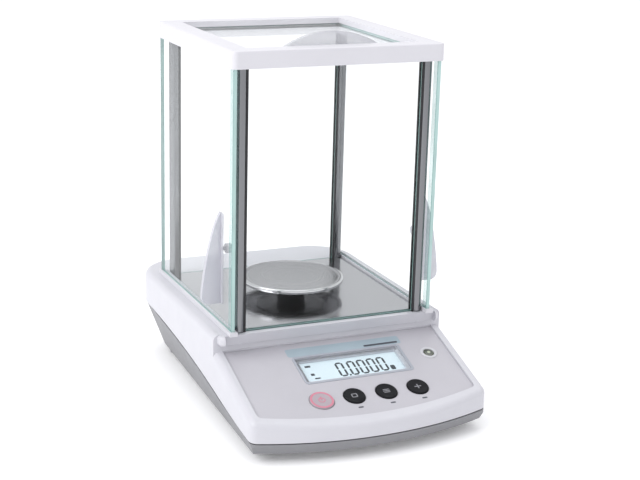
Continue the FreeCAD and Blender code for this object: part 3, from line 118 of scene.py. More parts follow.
def moulded(
    name, colour, roughness=0.4, grain=2600.0, bump=0.25, tint=0.03, spread=0.05, coat=0.0, specular=0.5,
):
    """Moulded plastic: fine grain, a little cloudiness in colour and gloss."""
    material, nodes, links, shader = new_material(name)
    shader.inputs["Coat Weight"].default_value = coat
    shader.inputs["Specular IOR Level"].default_value = specular
    shader.inputs["Coat Roughness"].default_value = 0.12
    vector = object_coordinates(nodes, links)
    cloud = remap(nodes, links, noise(nodes, links, vector, 28.0), 0.0, 1.0)
    dark = tuple(max(0.0, c * (1 - tint)) for c in colour)
    light = tuple(min(1.0, c * (1 + tint)) for c in colour)
    links.new(shade_between(nodes, links, cloud, dark, light), shader.inputs["Base Color"])
    wear = remap(nodes, links, noise(nodes, links, vector, 90.0, 6.0), roughness - spread, roughness + spread)
    links.new(wear, shader.inputs["Roughness"])
    add_bump(nodes, links, shader, noise(nodes, links, vector, grain, 2.0), bump, 0.00005)
    return material


def brushed(name, colour, stretch, roughness=0.3, tint=0.08, bump=0.12, spread=0.08):
    """Metal brushed along one direction: the noise is stretched by the given scales."""
    material, nodes, links, shader = new_material(name)
    shader.inputs["Metallic"].default_value = 1.0
    vector = object_coordinates(nodes, links, stretch)
    streak = noise(nodes, links, vector, 1.0, 6.0)
    dark = tuple(c * (1 - tint) for c in colour)
    light = tuple(min(1.0, c * (1 + tint)) for c in colour)
    factor = remap(nodes, links, streak, 0.0, 1.0)
    links.new(shade_between(nodes, links, factor, dark, light), shader.inputs["Base Color"])
    links.new(remap(nodes, links, streak, roughness - spread, roughness + spread), shader.inputs["Roughness"])
    add_bump(nodes, links, shader, streak, bump, 0.00005)
    return material


def turned(name, colour, centre, roughness=0.28, tint=0.08, bump=0.15):
    """Metal with fine rings round a vertical axis, as a lathe leaves them."""
    material, nodes, links, shader = new_material(name)
    shader.inputs["Metallic"].default_value = 1.0
    coordinates = nodes.new("ShaderNodeTexCoord")
    offset = nodes.new("ShaderNodeVectorMath")
    offset.operation = "SUBTRACT"
    offset.inputs[1].default_value = centre
    flat = nodes.new("ShaderNodeVectorMath")
    flat.operation = "MULTIPLY"
    flat.inputs[1].default_value = (1, 1, 0)
    radius = nodes.new("ShaderNodeVectorMath")
    radius.operation = "LENGTH"
    links.new(coordinates.outputs["Object"], offset.inputs[0])
    links.new(offset.outputs["Vector"], flat.inputs[0])
    links.new(flat.outputs["Vector"], radius.inputs[0])
    rings = nodes.new("ShaderNodeTexNoise")
    rings.noise_dimensions = "1D"
    rings.inputs["Scale"].default_value = 1500.0
    rings.inputs["Detail"].default_value = 3.0
    links.new(radius.outputs["Value"], rings.inputs["W"])
    factor = remap(nodes, links, rings.outputs["Fac"], 0.0, 1.0)
    dark = tuple(c * (1 - tint) for c in colour)
    light = tuple(min(1.0, c * (1 + tint)) for c in colour)
    links.new(shade_between(nodes, links, factor, dark, light), shader.inputs["Base Color"])
    wear = remap(nodes, links, rings.outputs["Fac"], roughness - 0.06, roughness + 0.06)
    links.new(wear, shader.inputs["Roughness"])
    add_bump(nodes, links, shader, rings.outputs["Fac"], bump, 0.00004)
    return material


def pane(name, tint, haze=0.02, body=(0.96, 0.98, 0.98)):
    """Clear sheet: see-through, with a gloss that grows towards grazing angles."""
    material, nodes, links, shader = new_material(name)
    shader.inputs["Base Color"].default_value = (*body, 1)
    shader.inputs["Roughness"].default_value = 0.03
    clear = nodes.new("ShaderNodeBsdfTransparent")
    clear.inputs["Color"].default_value = (*tint, 1)
    facing = nodes.new("ShaderNodeLayerWeight")
    steep = nodes.new("ShaderNodeMath")
    steep.operation = "POWER"
    steep.inputs[1].default_value = 5.0
    links.new(facing.outputs["Facing"], steep.inputs[0])
    gloss = nodes.new("ShaderNodeMath")
    gloss.operation = "MULTIPLY"
    gloss.inputs[1].default_value = 0.45
    links.new(steep.outputs["Value"], gloss.inputs[0])
    vector = object_coordinates(nodes, links)
    smear = remap(nodes, links, noise(nodes, links, vector, 14.0, 5.0), haze * 0.5, haze * 1.5)
    total = nodes.new("ShaderNodeMath")
    total.operation = "ADD"
    total.use_clamp = True
    links.new(gloss.outputs["Value"], total.inputs[0])
    links.new(smear, total.inputs[1])
    mix = nodes.new("ShaderNodeMixShader")
    links.new(total.outputs["Value"], mix.inputs["Fac"])
    links.new(clear.outputs["BSDF"], mix.inputs[1])
    links.new(shader.outputs["BSDF"], mix.inputs[2])
    links.new(mix.outputs["Shader"], nodes["Material Output"].inputs["Surface"])
    return material


def frosted(name, colour, see_through):
    """Milky clear plastic: part of the light goes straight through."""
    material, nodes, links, shader = new_material(name)
    shader.inputs["Roughness"].default_value = 0.22
    vector = object_coordinates(nodes, links)
    cloud = remap(nodes, links, noise(nodes, links, vector, 60.0), 0.0, 1.0)
    dark = tuple(c * 0.95 for c in colour)
    links.new(shade_between(nodes, links, cloud, dark, colour), shader.inputs["Base Color"])
    alpha = remap(nodes, links, noise(nodes, links, vector, 25.0), 0.97 - see_through, 1.03 - see_through)
    links.new(alpha, shader.inputs["Alpha"])
    add_bump(nodes, links, shader, noise(nodes, links, vector, 1500.0, 2.0), 0.15, 0.00005)
    return material


def lit(name, colour, glow, roughness=0.25):
    """Panel that shines a little by itself, such as a backlight; on the level bubble the glow is a painted
    highlight.
    """
    material, nodes, links, shader = new_material(name)
    vector = object_coordinates(nodes, links)
    cloud = remap(nodes, links, noise(nodes, links, vector, 22.0), 0.0, 1.0)
    dark = tuple(c * 0.94 for c in colour)
    links.new(shade_between(nodes, links, cloud, dark, colour), shader.inputs["Base Color"])
    shader.inputs["Roughness"].default_value = roughness
    shader.inputs["Emission Color"].default_value = (*colour, 1)
    shader.inputs["Emission Strength"].default_value = glow
    return material


WHITE = moulded("white_plastic", (0.565, 0.562, 0.60), 0.38, tint=0.012)
FRAME_WHITE = moulded("frame_plastic", (0.64, 0.632, 0.668), 0.34, tint=0.012)
GREY = moulded("grey_plastic", (0.225, 0.225, 0.238), 0.5, grain=1800.0, bump=0.4)
PANEL = moulded("panel_film", (0.465, 0.454, 0.49), 0.42, grain=3200.0, bump=0.15, tint=0.02)
BLACK = moulded("black_plastic", (0.012, 0.012, 0.014), 0.35, tint=0.2)
KEY_BLACK = moulded("key_black", (0.006, 0.006, 0.008), 0.5, tint=0.2, bump=0.15, specular=0.16)
HUB_BLACK = moulded("hub_black", (0.014, 0.014, 0.016), 0.2, tint=0.2, bump=0.1, coat=0.6)
RUBBER = moulded("rubber", (0.02, 0.02, 0.021), 0.75, grain=1200.0, bump=0.5, tint=0.15)
PRINT_LIGHT = moulded("print_light", (0.55, 0.55, 0.58), 0.5, tint=0.02)
PRINT_GREY = moulded("print_grey", (0.22, 0.22, 0.24), 0.5, tint=0.03)
PRINT_DARK = moulded("print_dark", (0.06, 0.065, 0.08), 0.45, tint=0.05)
PRINT_TEAL = moulded("print_teal", (0.34, 0.42, 0.47), 0.4, tint=0.05)
PRINT_EDGE = moulded("print_edge", (0.36, 0.38, 0.43), 0.4, tint=0.05)
RED = moulded("power_red", (0.58, 0.20, 0.27), 0.4, tint=0.05)
KEY_PINK = moulded("power_cap", (0.38, 0.325, 0.36), 0.4, tint=0.02)
BOARD_GREEN = moulded("solder_mask", (0.02, 0.13, 0.06), 0.35, grain=900.0, bump=0.3, tint=0.15)
COPPER = brushed("copper", (0.72, 0.35, 0.18), (300, 300, 4000), 0.35)
PLATE = brushed("plate_steel", (0.45, 0.45, 0.465), (60, 2600, 60), 0.14, tint=0.04, bump=0.04, spread=0.04)
STEEL = brushed("screw_steel", (0.55, 0.55, 0.56), (900, 900, 900), 0.35)
POST = brushed("post_aluminium", (0.215, 0.218, 0.228), (2200, 2200, 8), 0.2, tint=0.06)
ALUMINIUM = brushed("cell_aluminium", (0.52, 0.53, 0.55), (900, 60, 900), 0.3, tint=0.05)
CAST = brushed("cast_aluminium", (0.55, 0.56, 0.57), (200, 200, 200), 0.45)
PAN_STEEL = turned("pan_steel", (0.35, 0.35, 0.36), PAN_CENTRE, 0.26)
# Brighter copy of the pan steel for the rim: a painted highlight along the raised lip.
PAN_RIM_HIGHLIGHT = turned("pan_rim_painted_highlight", (0.62, 0.62, 0.63), PAN_CENTRE, 0.16, tint=0.04)
GLASS = pane("pane_glass", (0.992, 0.997, 0.996), 0.008)
GLASS_STRIP = pane("pane_strip", (0.88, 0.96, 0.95), 0.40, (0.26, 0.42, 0.40))
WINDOW = pane("window_glass", (0.97, 0.985, 0.99), 0.01)
EDGE_MINT = moulded("edge_mint", (0.40, 0.57, 0.545), 0.18, tint=0.10, bump=0.1, coat=0.5)
EDGE_TEAL = moulded("edge_teal", (0.20, 0.36, 0.34), 0.2, tint=0.15, bump=0.1, coat=0.5)
GRIP = frosted("grip_frosted", (0.62, 0.62, 0.68), 0.35)
ARCH_GRIP = frosted("arch_frosted", (0.62, 0.62, 0.66), 0.55)
LCD = lit("lcd_backlight", (0.66, 0.74, 0.78), 0.22)
SEGMENT = moulded("lcd_segment", (0.03, 0.035, 0.045), 0.3, tint=0.05)
FLUID = moulded("level_fluid", (0.05, 0.06, 0.035), 0.12, tint=0.1, coat=1.0)
# The level bubble glows faintly though it is no lamp: a painted highlight.
BUBBLE_GLOW = lit("level_bubble_painted_glow", (0.42, 0.46, 0.36), 0.02)

NODE_MATERIALS = {
    "upper_housing": WHITE, "top_frame": FRAME_WHITE, "left_door_rail": FRAME_WHITE,
    "right_door_rail": FRAME_WHITE, "lower_housing": GREY, "hook_cover": GREY, "control_panel": PANEL,
    "display_window": WINDOW, "lcd_module": LCD, "display_board": BOARD_GREEN, "main_board": BOARD_GREEN,
    "board_standoffs": STEEL, "key_switches": BLACK, "level_body": PRINT_LIGHT, "level_vial": FLUID,
    "floor_plate": PLATE, "pan_support": HUB_BLACK, "pan_stem": STEEL,
    "front_feet": RUBBER, "left_foot_pad": RUBBER, "right_foot_pad": RUBBER,
    "left_foot_wheel": BLACK, "right_foot_wheel": BLACK, "housing_screws": STEEL, "post_studs": STEEL,
    "cell_frame": CAST, "cell_guides": ALUMINIUM, "load_receiver": CAST, "balance_beam": ALUMINIUM,
    "magnet_pot": STEEL, "coil": COPPER, "ribbon_cable": PRINT_LIGHT, "power_inlet": BLACK,
    "serial_port": STEEL, "lock_plate": STEEL, "rating_label": PRINT_EDGE,
    "left_door_knob": FRAME_WHITE, "right_door_knob": FRAME_WHITE,
    "left_front_post": POST, "left_rear_post": POST, "right_front_post": POST, "right_rear_post": POST,
}


def dress_nodes():
    for name, material in NODE_MATERIALS.items():
        if name in NODES:
            slots = NODES[name].data.materials
            slots.clear()
            slots.append(material)


dress_nodes()


# ---------------------------------------------------------------- mesh helpers
def link_mesh(name, mesh, materials, body):
    piece = bpy.data.objects.new(name, mesh)
    bpy.context.scene.collection.objects.link(piece)
    for material in materials:
        mesh.materials.append(material)
    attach(piece, body)
    return piece


def finish_mesh(name, bm, materials, body, sharp_angle=35, matrix=None):
    bmesh.ops.recalc_face_normals(bm, faces=bm.faces)
    mesh = bpy.data.meshes.new(name)
    bm.to_mesh(mesh)
    bm.free()
    if matrix is not None:
        mesh.transform(matrix)
    for polygon in mesh.polygons:
        polygon.use_smooth = True
    mesh.set_sharp_from_angle(angle=math.radians(sharp_angle))
    return link_mesh(name, mesh, materials, body)


def add_box(bm, low, high, bevel=0.0, segments=2):
    """Box between two corners with bevelled edges, added to the mesh."""
    made = bmesh.ops.create_cube(bm, size=1.0)
    size = Vector(high) - Vector(low)
    middle = (Vector(high) + Vector(low)) / 2
    for vertex in made["verts"]:
        vertex.co = Vector(vertex.co[i] * size[i] + middle[i] for i in range(3))
    if bevel > 0:
        edges = list({e for v in made["verts"] for e in v.link_edges})
        bmesh.ops.bevel(bm, geom=edges, offset=bevel, segments=segments, affect="EDGES", profile=0.5)


def add_prism(bm, outline, z0, z1):
    """Straight prism over a closed outline in the x-y plane."""
    low = [bm.verts.new((x, y, z0)) for x, y in outline]
    high = [bm.verts.new((x, y, z1)) for x, y in outline]
    bm.faces.new(high)
    bm.faces.new(list(reversed(low)))
    count = len(outline)
    for i in range(count):
        j = (i + 1) % count
        bm.faces.new((low[i], low[j], high[j], high[i]))


def on_circle(centre, radius, angle, z):
    return centre[0] + radius * math.cos(angle), centre[1] + radius * math.sin(angle), z


def add_lathe(bm, profile, centre, segments=96):
    """Surface of revolution round a vertical axis; profile is (radius, z) from axis to axis."""
    rings = []
    for radius, z in profile:
        if radius < 1e-7:
            rings.append([bm.verts.new((centre[0], centre[1], z))])
            continue
        ring = []
        for i in range(segments):
            angle = 2 * math.pi * i / segments
            ring.append(bm.verts.new(on_circle(centre, radius, angle, z)))
        rings.append(ring)
    for a, b in zip(rings, rings[1:]):
        for i in range(segments):
            j = (i + 1) % segments
            if len(a) == 1 and len(b) == 1:
                continue
            if len(a) == 1:
                bm.faces.new((a[0], b[i], b[j]))
            elif len(b) == 1:
                bm.faces.new((a[i], a[j], b[0]))
            else:
                bm.faces.new((a[i], a[j], b[j], b[i]))


def add_ring(bm, outer, inner, z0, z1, centre=(0, 0), segments=64, soften=0.0):
    """Flat closed ring with slightly rounded rims."""
    s = soften
    profile = [(inner, z0), (outer, z0), (outer, z1 - s), (outer - s, z1), (inner + s, z1), (inner, z1 - s)]
    add_closed_lathe(bm, profile, centre, segments)


def add_closed_lathe(bm, profile, centre, segments=96):
    """Ring-shaped body: the profile is a closed loop away from the axis."""
    rings = []
    for radius, z in profile:
        ring = []
        for i in range(segments):
            angle = 2 * math.pi * i / segments
            ring.append(bm.verts.new(on_circle(centre, radius, angle, z)))
        rings.append(ring)
    for k, a in enumerate(rings):
        b = rings[(k + 1) % len(rings)]
        for i in range(segments):
            j = (i + 1) % segments
            bm.faces.new((a[i], a[j], b[j], b[i]))


def rounded_rectangle(x0, x1, y0, y1, radius, steps=6):
    points = []
    for cx, cy, start in (
        (x1 - radius, y1 - radius, 0), (x0 + radius, y1 - radius, 90),
        (x0 + radius, y0 + radius, 180), (x1 - radius, y0 + radius, 270),
    ):
        for i in range(steps + 1):
            angle = math.radians(start + 90 * i / steps)
            points.append((cx + radius * math.cos(angle), cy + radius * math.sin(angle)))
    return points


# ---------------------------------------------------------------- panes of the draft shield
def edged_pane(name, node, body, thin_axis, strip=0.0):
    """Sheet with ground edges: the broad faces are clear, the narrow ones show green.

    A strip along the front edge carries the green a little way into the sheet.
    """
    low, high = box_of(node)
    bm = bmesh.new()
    add_box(bm, low, high, 0.35 * MM, 1)
    border = low.y + strip
    if strip > 0:
        everything = bm.verts[:] + bm.edges[:] + bm.faces[:]
        bmesh.ops.bisect_plane(bm, geom=everything, plane_co=(0, border, 0), plane_no=(0, 1, 0))
    bm.normal_update()
    for face in bm.faces:
        broad = abs(face.normal[thin_axis]) > 0.9
        rim = max(abs(face.normal[i]) for i in range(3)) < 0.95
        near_front = face.calc_center_median().y < border
        face.material_index = (3 if near_front else 0) if broad else (2 if rim else 1)
    piece = finish_mesh(name, bm, [GLASS, EDGE_MINT, EDGE_TEAL, GLASS_STRIP], body, 20)
    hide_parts(node)


DOOR_STRIP = 6.5 * MM
edged_pane("left_door_pane", "left_door_glass", "left_door", 0, DOOR_STRIP)
edged_pane("right_door_pane", "right_door_glass", "right_door", 0, DOOR_STRIP)
edged_pane("top_door_pane", "top_door_glass", "top_door", 2)
edged_pane("front_pane", "front_glass", "base", 1)
edged_pane("rear_pane", "rear_glass", "base", 1)


# ---------------------------------------------------------------- grips
def outline_from_curve(control, steps=18):
    """Points along a cubic Bezier curve through four control points."""
    points = []
    for i in range(steps + 1):
        t = i / steps
        weights = ((1 - t) ** 3, 3 * t * (1 - t) ** 2, 3 * t * t * (1 - t), t ** 3)
        points.append(tuple(sum(w * p[k] for w, p in zip(weights, control)) for k in range(2)))
    return points


def sail_grip(name, node, body, side):
    """Side door grip: a thin sail that stands out from the pane, on a narrow foot."""
    low, high = box_of(node)
    x0 = low.x if side > 0 else high.x
    reach = high.x - low.x
    z0 = low.z
    z1 = high.z
    middle = (low.y + high.y) / 2
    half = 2.0 * MM
    curve = outline_from_curve([
        (reach * 0.995, z0 + 7 * MM), (reach * 0.82, z0 + 34 * MM), (reach * 0.55, z0 + 62 * MM), (2 * MM, z1),
    ])
    corner = outline_from_curve([
        (reach - 8 * MM, z0), (reach - 3 * MM, z0), (reach * 0.99, z0 + 2 * MM), (reach * 0.995, z0 + 7 * MM),
    ], 8)
    outline = [(0, z1), (0, z0)] + corner[:-1] + curve
    bm = bmesh.new()
    add_prism(bm, outline, -half, half)
    rim = [e for e in bm.edges if abs(e.verts[0].co.z - e.verts[1].co.z) < 1e-7]
    bmesh.ops.bevel(bm, geom=rim, offset=0.6 * MM, segments=2, affect="EDGES", profile=0.5)
    for vertex in bm.verts:
        x, z, y = vertex.co
        vertex.co = (x0 + side * x, middle + y, z)
    foot_low = (min(x0, x0 + side * 1.4 * MM), middle - 4.8 * MM, z0 + 0.3 * MM)
    foot_high = (max(x0, x0 + side * 1.4 * MM), middle + 4.8 * MM, z1 - 0.3 * MM)
    add_box(bm, foot_low, foot_high, 0.5 * MM, 2)
    piece = finish_mesh(name, bm, [GRIP], body, 40)
    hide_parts(node)


sail_grip("left_grip", "left_door_grip", "left_door", -1)
sail_grip("right_grip", "right_door_grip", "right_door", 1)


def arch_grip():
    """Top door grip: an arched blade on a low foot."""
    low, high = box_of("top_door_grip")
    half = (high.x - low.x) / 2
    rise = high.z - low.z
    steps = 40
    shoulder = 1.5 * MM
    radius = (half ** 2 + (rise - shoulder) ** 2) / (2 * (rise - shoulder))
    outline = [(-half, 0), (half, 0)]
    for i in range(steps + 1):
        x = half - 2 * half * i / steps
        outline.append((x, shoulder + math.sqrt(radius ** 2 - x ** 2) - (radius - (rise - shoulder))))
    bm = bmesh.new()
    thickness = high.y - low.y
    add_prism(bm, outline, 0, thickness)
    rim = [e for e in bm.edges if abs(e.verts[0].co.z - e.verts[1].co.z) < 1e-7]
    bmesh.ops.bevel(bm, geom=rim, offset=0.5 * MM, segments=2, affect="EDGES", profile=0.5)
    for vertex in bm.verts:
        x, z, y = vertex.co
        vertex.co = (x, low.y + y, low.z + z)
    piece = finish_mesh("top_grip", bm, [ARCH_GRIP], "top_door", 40)
    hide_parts("top_door_grip")


arch_grip()


# ---------------------------------------------------------------- pan
def pan():
    low, high = box_of("weighing_pan")
    top = high.z
    radius = high.x
    sheet = 0.9 * MM
    dish = 0.8 * MM
    inner = radius - 4 * MM
    profile = [
        (0, top - dish), (inner - 1 * MM, top - dish), (inner + 0.4 * MM, top - dish * 0.7),
        (inner + 1.2 * MM, top - dish * 0.15), (inner + 2.0 * MM, top), (radius - 1.1 * MM, top),
        (radius - 0.4 * MM, top - 0.2 * MM), (radius, top - 0.9 * MM), (radius, low.z + 0.3 * MM),
        (radius - 0.3 * MM, low.z), (radius - sheet, low.z + 0.1 * MM),
        (radius - sheet, top - sheet - 0.5 * MM),
        (inner + 1.6 * MM, top - sheet), (inner, top - dish - sheet), (0, top - dish - sheet),
    ]
    bm = bmesh.new()
    add_lathe(bm, profile, PAN_CENTRE, 128)
    # Faces outside the dish take the brighter rim steel: a painted highlight on the rim.
    for face in bm.faces:
        distance = (face.calc_center_median() - Vector(PAN_CENTRE)).to_2d().length
        face.material_index = 1 if distance > inner + 1.7 * MM else 0
    piece = finish_mesh("pan_dish", bm, [PAN_STEEL, PAN_RIM_HIGHLIGHT], "pan", 50)
    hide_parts("weighing_pan")


pan()


# ---------------------------------------------------------------- control panel
PROUD = 0.06 * MM


def on_panel_prism(name, outline, z0, z1, materials, body="base"):
    bm = bmesh.new()
    add_prism(bm, outline, z0, z1)
    return finish_mesh(name, bm, materials, body, 35, PANEL_MATRIX)


def panel_local(point):
    """A frame position in the panel's own plane."""
    return PANEL_MATRIX.inverted() @ Vector(point)


WINDOW_MID = panel_local(centre_of("display_window"))
WINDOW_HALF_W = (box_of("display_window")[1].x - box_of("display_window")[0].x) / 2
WINDOW_HALF_L = 15.0 * MM


def frame_outline(margin, radius):
    return rounded_rectangle(
        WINDOW_MID.x - WINDOW_HALF_W - margin, WINDOW_MID.x + WINDOW_HALF_W + margin,
        WINDOW_MID.y - WINDOW_HALF_L - margin, WINDOW_MID.y + WINDOW_HALF_L + margin, radius,
    )


def bordered(name, outer, inner, z0, z1, material, body="base"):
    """Flat frame between two outlines with the same number of points."""
    bm = bmesh.new()
    count = len(outer)
    layers = []
    for outline, z in ((outer, z0), (outer, z1), (inner, z1), (inner, z0)):
        layers.append([bm.verts.new((x, y, z)) for x, y in outline])
    for k in range(4):
        a = layers[k]
        b = layers[(k + 1) % 4]
        for i in range(count):
            j = (i + 1) % count
            bm.faces.new((a[i], a[j], b[j], b[i]))
    return finish_mesh(name, bm, [material], body, 35, PANEL_MATRIX)


def display_surround():
    bordered(
        "display_border", frame_outline(2.2 * MM, 3.2 * MM), frame_outline(0.3 * MM, 1.6 * MM),
        -0.2 * MM, 0.35 * MM, PRINT_EDGE,
    )
    bordered(
        "display_mask", frame_outline(-0.2 * MM, 1.4 * MM), frame_outline(-2.4 * MM, 1.0 * MM),
        -2.4 * MM, -1.7 * MM, PRINT_LIGHT,
    )
    top = WINDOW_MID.y + WINDOW_HALF_L + 2.6 * MM
    band = rounded_rectangle(WINDOW_MID.x - 50 * MM, WINDOW_MID.x + 52 * MM, top, top + 10 * MM, 2 * MM)
    on_panel_prism("display_band", band, -0.1 * MM, PROUD, [PRINT_TEAL])
    bar_x = WINDOW_MID.x + 18 * MM
    bar = rounded_rectangle(bar_x, bar_x + 31 * MM, top + 1.2 * MM, top + 3.4 * MM, 1 * MM)
    on_panel_prism("display_bar", bar, -0.1 * MM, 2 * PROUD, [PRINT_DARK])


display_surround()

ZERO_SEGMENTS = "abcdef"
DIGITS = 5


def segment_outline(kind, width, height, stroke):
    """Six-sided bar of a seven-segment digit, in the digit's own box."""
    half = height / 2
    gap = stroke * 0.12
    if kind in "agd":
        y = {"a": height, "g": half, "d": 0}[kind]
        y = min(max(y, stroke / 2), height - stroke / 2)
        x0 = stroke / 2 + gap
        x1 = width - stroke / 2 - gap
        s = stroke / 2
        return [(x0, y), (x0 + s, y + s), (x1 - s, y + s), (x1, y), (x1 - s, y - s), (x0 + s, y - s)]
    x = stroke / 2 if kind in "ef" else width - stroke / 2
    y0, y1 = (stroke / 2, half) if kind in "ec" else (half, height - stroke / 2)
    y0 += gap
    y1 -= gap
    s = stroke / 2
    return [(x, y0), (x + s, y0 + s), (x + s, y1 - s), (x, y1), (x - s, y1 - s), (x - s, y0 + s)]


def reading():
    """The display reads zero with four decimals, and a few plain marks."""
    lcd_top = -3.9 * MM
    z0 = lcd_top - 0.02 * MM
    z1 = lcd_top + 0.12 * MM
    width = 7.0 * MM
    height = 17.5 * MM
    pitch = 8.9 * MM
    stroke = 1.7 * MM
    start = WINDOW_MID.x - 13.5 * MM
    bottom = WINDOW_MID.y - height / 2 - 0.5 * MM
    bm = bmesh.new()
    for k in range(DIGITS):
        offset = start + k * pitch + (1.2 * MM if k > 0 else 0)
        for kind in ZERO_SEGMENTS:
            outline = [(offset + x, bottom + y) for x, y in segment_outline(kind, width, height, stroke)]
            add_prism(bm, outline, z0, z1)
    dot = start + width + 0.6 * MM
    add_prism(bm, rounded_rectangle(dot, dot + 1.8 * MM, bottom, bottom + 1.8 * MM, 0.4 * MM, 3), z0, z1)
    left = WINDOW_MID.x - WINDOW_HALF_W
    for x, y, w, h in ((7, 7, 5, 2.2), (8.5, -3.5, 3.2, 2.6), (10, -8, 5, 1.5)):
        mark = rounded_rectangle(
            left + x * MM, left + (x + w) * MM, WINDOW_MID.y + y * MM, WINDOW_MID.y + (y + h) * MM, 0.5 * MM, 3,
        )
        add_prism(bm, mark, z0, z1)
    right = WINDOW_MID.x + WINDOW_HALF_W
    unit_low = WINDOW_MID.y - 9 * MM
    unit = rounded_rectangle(right - 14 * MM, right - 10 * MM, unit_low, unit_low + 5.5 * MM, 1 * MM, 3)
    add_prism(bm, unit, z0, z1)
    finish_mesh("lcd_reading", bm, [SEGMENT], "base", 35, PANEL_MATRIX)


reading()


KEY_ROW = -72.0 * MM


def key_cap(name, node, body, cap_material, dish):
    """Round key: softly rounded rim and a shallow dish for the fingertip."""
    middle = panel_local(centre_of(node))
    low, high = box_of(node)
    flange = (high.x - low.x) / 2
    radius = flange - 1.2 * MM
    top = 1.2 * MM
    under = -3.9 * MM
    profile = [
        (0, under - 1.4 * MM), (flange, under - 1.4 * MM), (flange, under), (radius, under),
        (radius, top - 0.9 * MM),
    ]
    for i in range(1, 6):
        angle = math.radians(90 * i / 5)
        profile.append((radius - 0.9 * MM * (1 - math.cos(angle)), top - 0.9 * MM + 0.9 * MM * math.sin(angle)))
    inner = radius - 1.6 * MM
    for i in range(0, 6):
        share = i / 5
        profile.append((inner * (1 - share), top - dish * math.sin(math.radians(90 * share)) ** 0.8))
    bm = bmesh.new()
    add_lathe(bm, profile, (middle.x, KEY_ROW), 72)
    piece = finish_mesh(name, bm, [cap_material], body, 40, PANEL_MATRIX)
    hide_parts(node)
    return middle.x, KEY_ROW, radius, top


def key_mark(name, body, x, y, shapes, z, material):
    bm = bmesh.new()
    for x0, x1, y0, y1, radius in shapes:
        outline = rounded_rectangle(x + x0 * MM, x + x1 * MM, y + y0 * MM, y + y1 * MM, radius * MM, 3)
        add_prism(bm, outline, z - 0.5 * MM, z)
    return finish_mesh(name, bm, [material], body, 35, PANEL_MATRIX)


def keys():
    x, y, radius, top = key_cap("power_cap", "power_button", "power_key", KEY_PINK, 0.25 * MM)
    bm = bmesh.new()
    add_ring(bm, radius - 0.5 * MM, radius - 2.3 * MM, top - 0.6 * MM, top + 0.05 * MM, (x, y), 64, 0.1 * MM)
    finish_mesh("power_ring", bm, [RED], "power_key", 40, PANEL_MATRIX)
    bm = bmesh.new()
    add_ring(bm, 2.9 * MM, 2.1 * MM, top - 0.7 * MM, top - 0.1 * MM, (x, y), 40, 0.05 * MM)
    stroke = rounded_rectangle(x - 0.4 * MM, x + 0.4 * MM, y, y + 4 * MM, 0.2 * MM, 2)
    add_prism(bm, stroke, top - 0.7 * MM, top - 0.05 * MM)
    finish_mesh("power_symbol", bm, [RED], "power_key", 40, PANEL_MATRIX)
    marks = {
        "zero": [
            (-2.6, -1.6, -1.8, 1.8, 0.4), (1.6, 2.6, -1.8, 1.8, 0.4),
            (-2.2, 2.2, 1.4, 2.2, 0.3), (-2.2, 2.2, -2.2, -1.4, 0.3),
        ],
        "unit": [(-3, 3, 1.2, 2.0, 0.3), (-3, 3, -0.4, 0.4, 0.3), (-3, 3, -2.0, -1.2, 0.3)],
        "send": [(-3, 3, -0.5, 0.5, 0.3), (-0.5, 0.5, -2.6, 2.6, 0.3)],
    }
    for key, shapes in marks.items():
        x, y, radius, top = key_cap(
            key + "_cap", key + "_button", key + "_key", KEY_BLACK, 0.4 * MM,
        )
        key_mark(key + "_mark", key + "_key", x, y, shapes, top - 0.33 * MM, PRINT_GREY)
        tick = rounded_rectangle(x - 2.2 * MM, x + 2.2 * MM, y - 14.2 * MM, y - 12.6 * MM, 0.6 * MM, 3)
        on_panel_prism(key + "_tick", tick, -0.1 * MM, PROUD, [PRINT_DARK])


keys()


def level():
    middle = panel_local(centre_of("level_body"))
    low, high = box_of("level_body")
    outer = (high.x - low.x) / 2
    x = middle.x
    y = -33.0 * MM
    inner = 4.7 * MM
    bm = bmesh.new()
    profile = [
        (inner, -7 * MM), (outer - 1.6 * MM, -7 * MM), (outer - 1.6 * MM, 0.02 * MM), (outer, 0.02 * MM),
        (outer - 0.1 * MM, 0.5 * MM), (outer - 0.6 * MM, 0.8 * MM),
        (inner + 0.5 * MM, 0.8 * MM), (inner, 0.4 * MM),
    ]
    add_closed_lathe(bm, profile, (x, y), 64)
    piece = finish_mesh("level_bezel", bm, [PRINT_LIGHT], "base", 40, PANEL_MATRIX)
    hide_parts("level_body")
    bm = bmesh.new()
    dome = [(0, -7 * MM), (inner - 0.05 * MM, -7 * MM), (inner - 0.05 * MM, -0.2 * MM)]
    for i in range(1, 7):
        angle = math.radians(90 * i / 6)
        dome.append(((inner - 0.05 * MM) * math.cos(angle), -0.2 * MM + 0.7 * MM * math.sin(angle)))
    add_lathe(bm, dome, (x, y), 48)
    piece = finish_mesh("level_glass", bm, [FLUID], "base", 40, PANEL_MATRIX)
    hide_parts("level_vial")
    bm = bmesh.new()
    add_ring(bm, 2.5 * MM, 2.2 * MM, 0.0, 0.55 * MM, (x, y), 40, 0.02 * MM)
    finish_mesh("level_target", bm, [PRINT_DARK], "base", 40, PANEL_MATRIX)
    bm = bmesh.new()
    # Bubble drop that glows faintly: a painted highlight in the vial.
    drop = [(0, 0.1 * MM), (1.4 * MM, 0.3 * MM), (1.5 * MM, 0.48 * MM), (1.0 * MM, 0.62 * MM), (0, 0.66 * MM)]
    add_lathe(bm, drop, (x + 0.3 * MM, y + 0.4 * MM), 32)
    finish_mesh("level_drop", bm, [BUBBLE_GLOW], "base", 60, PANEL_MATRIX)


level()


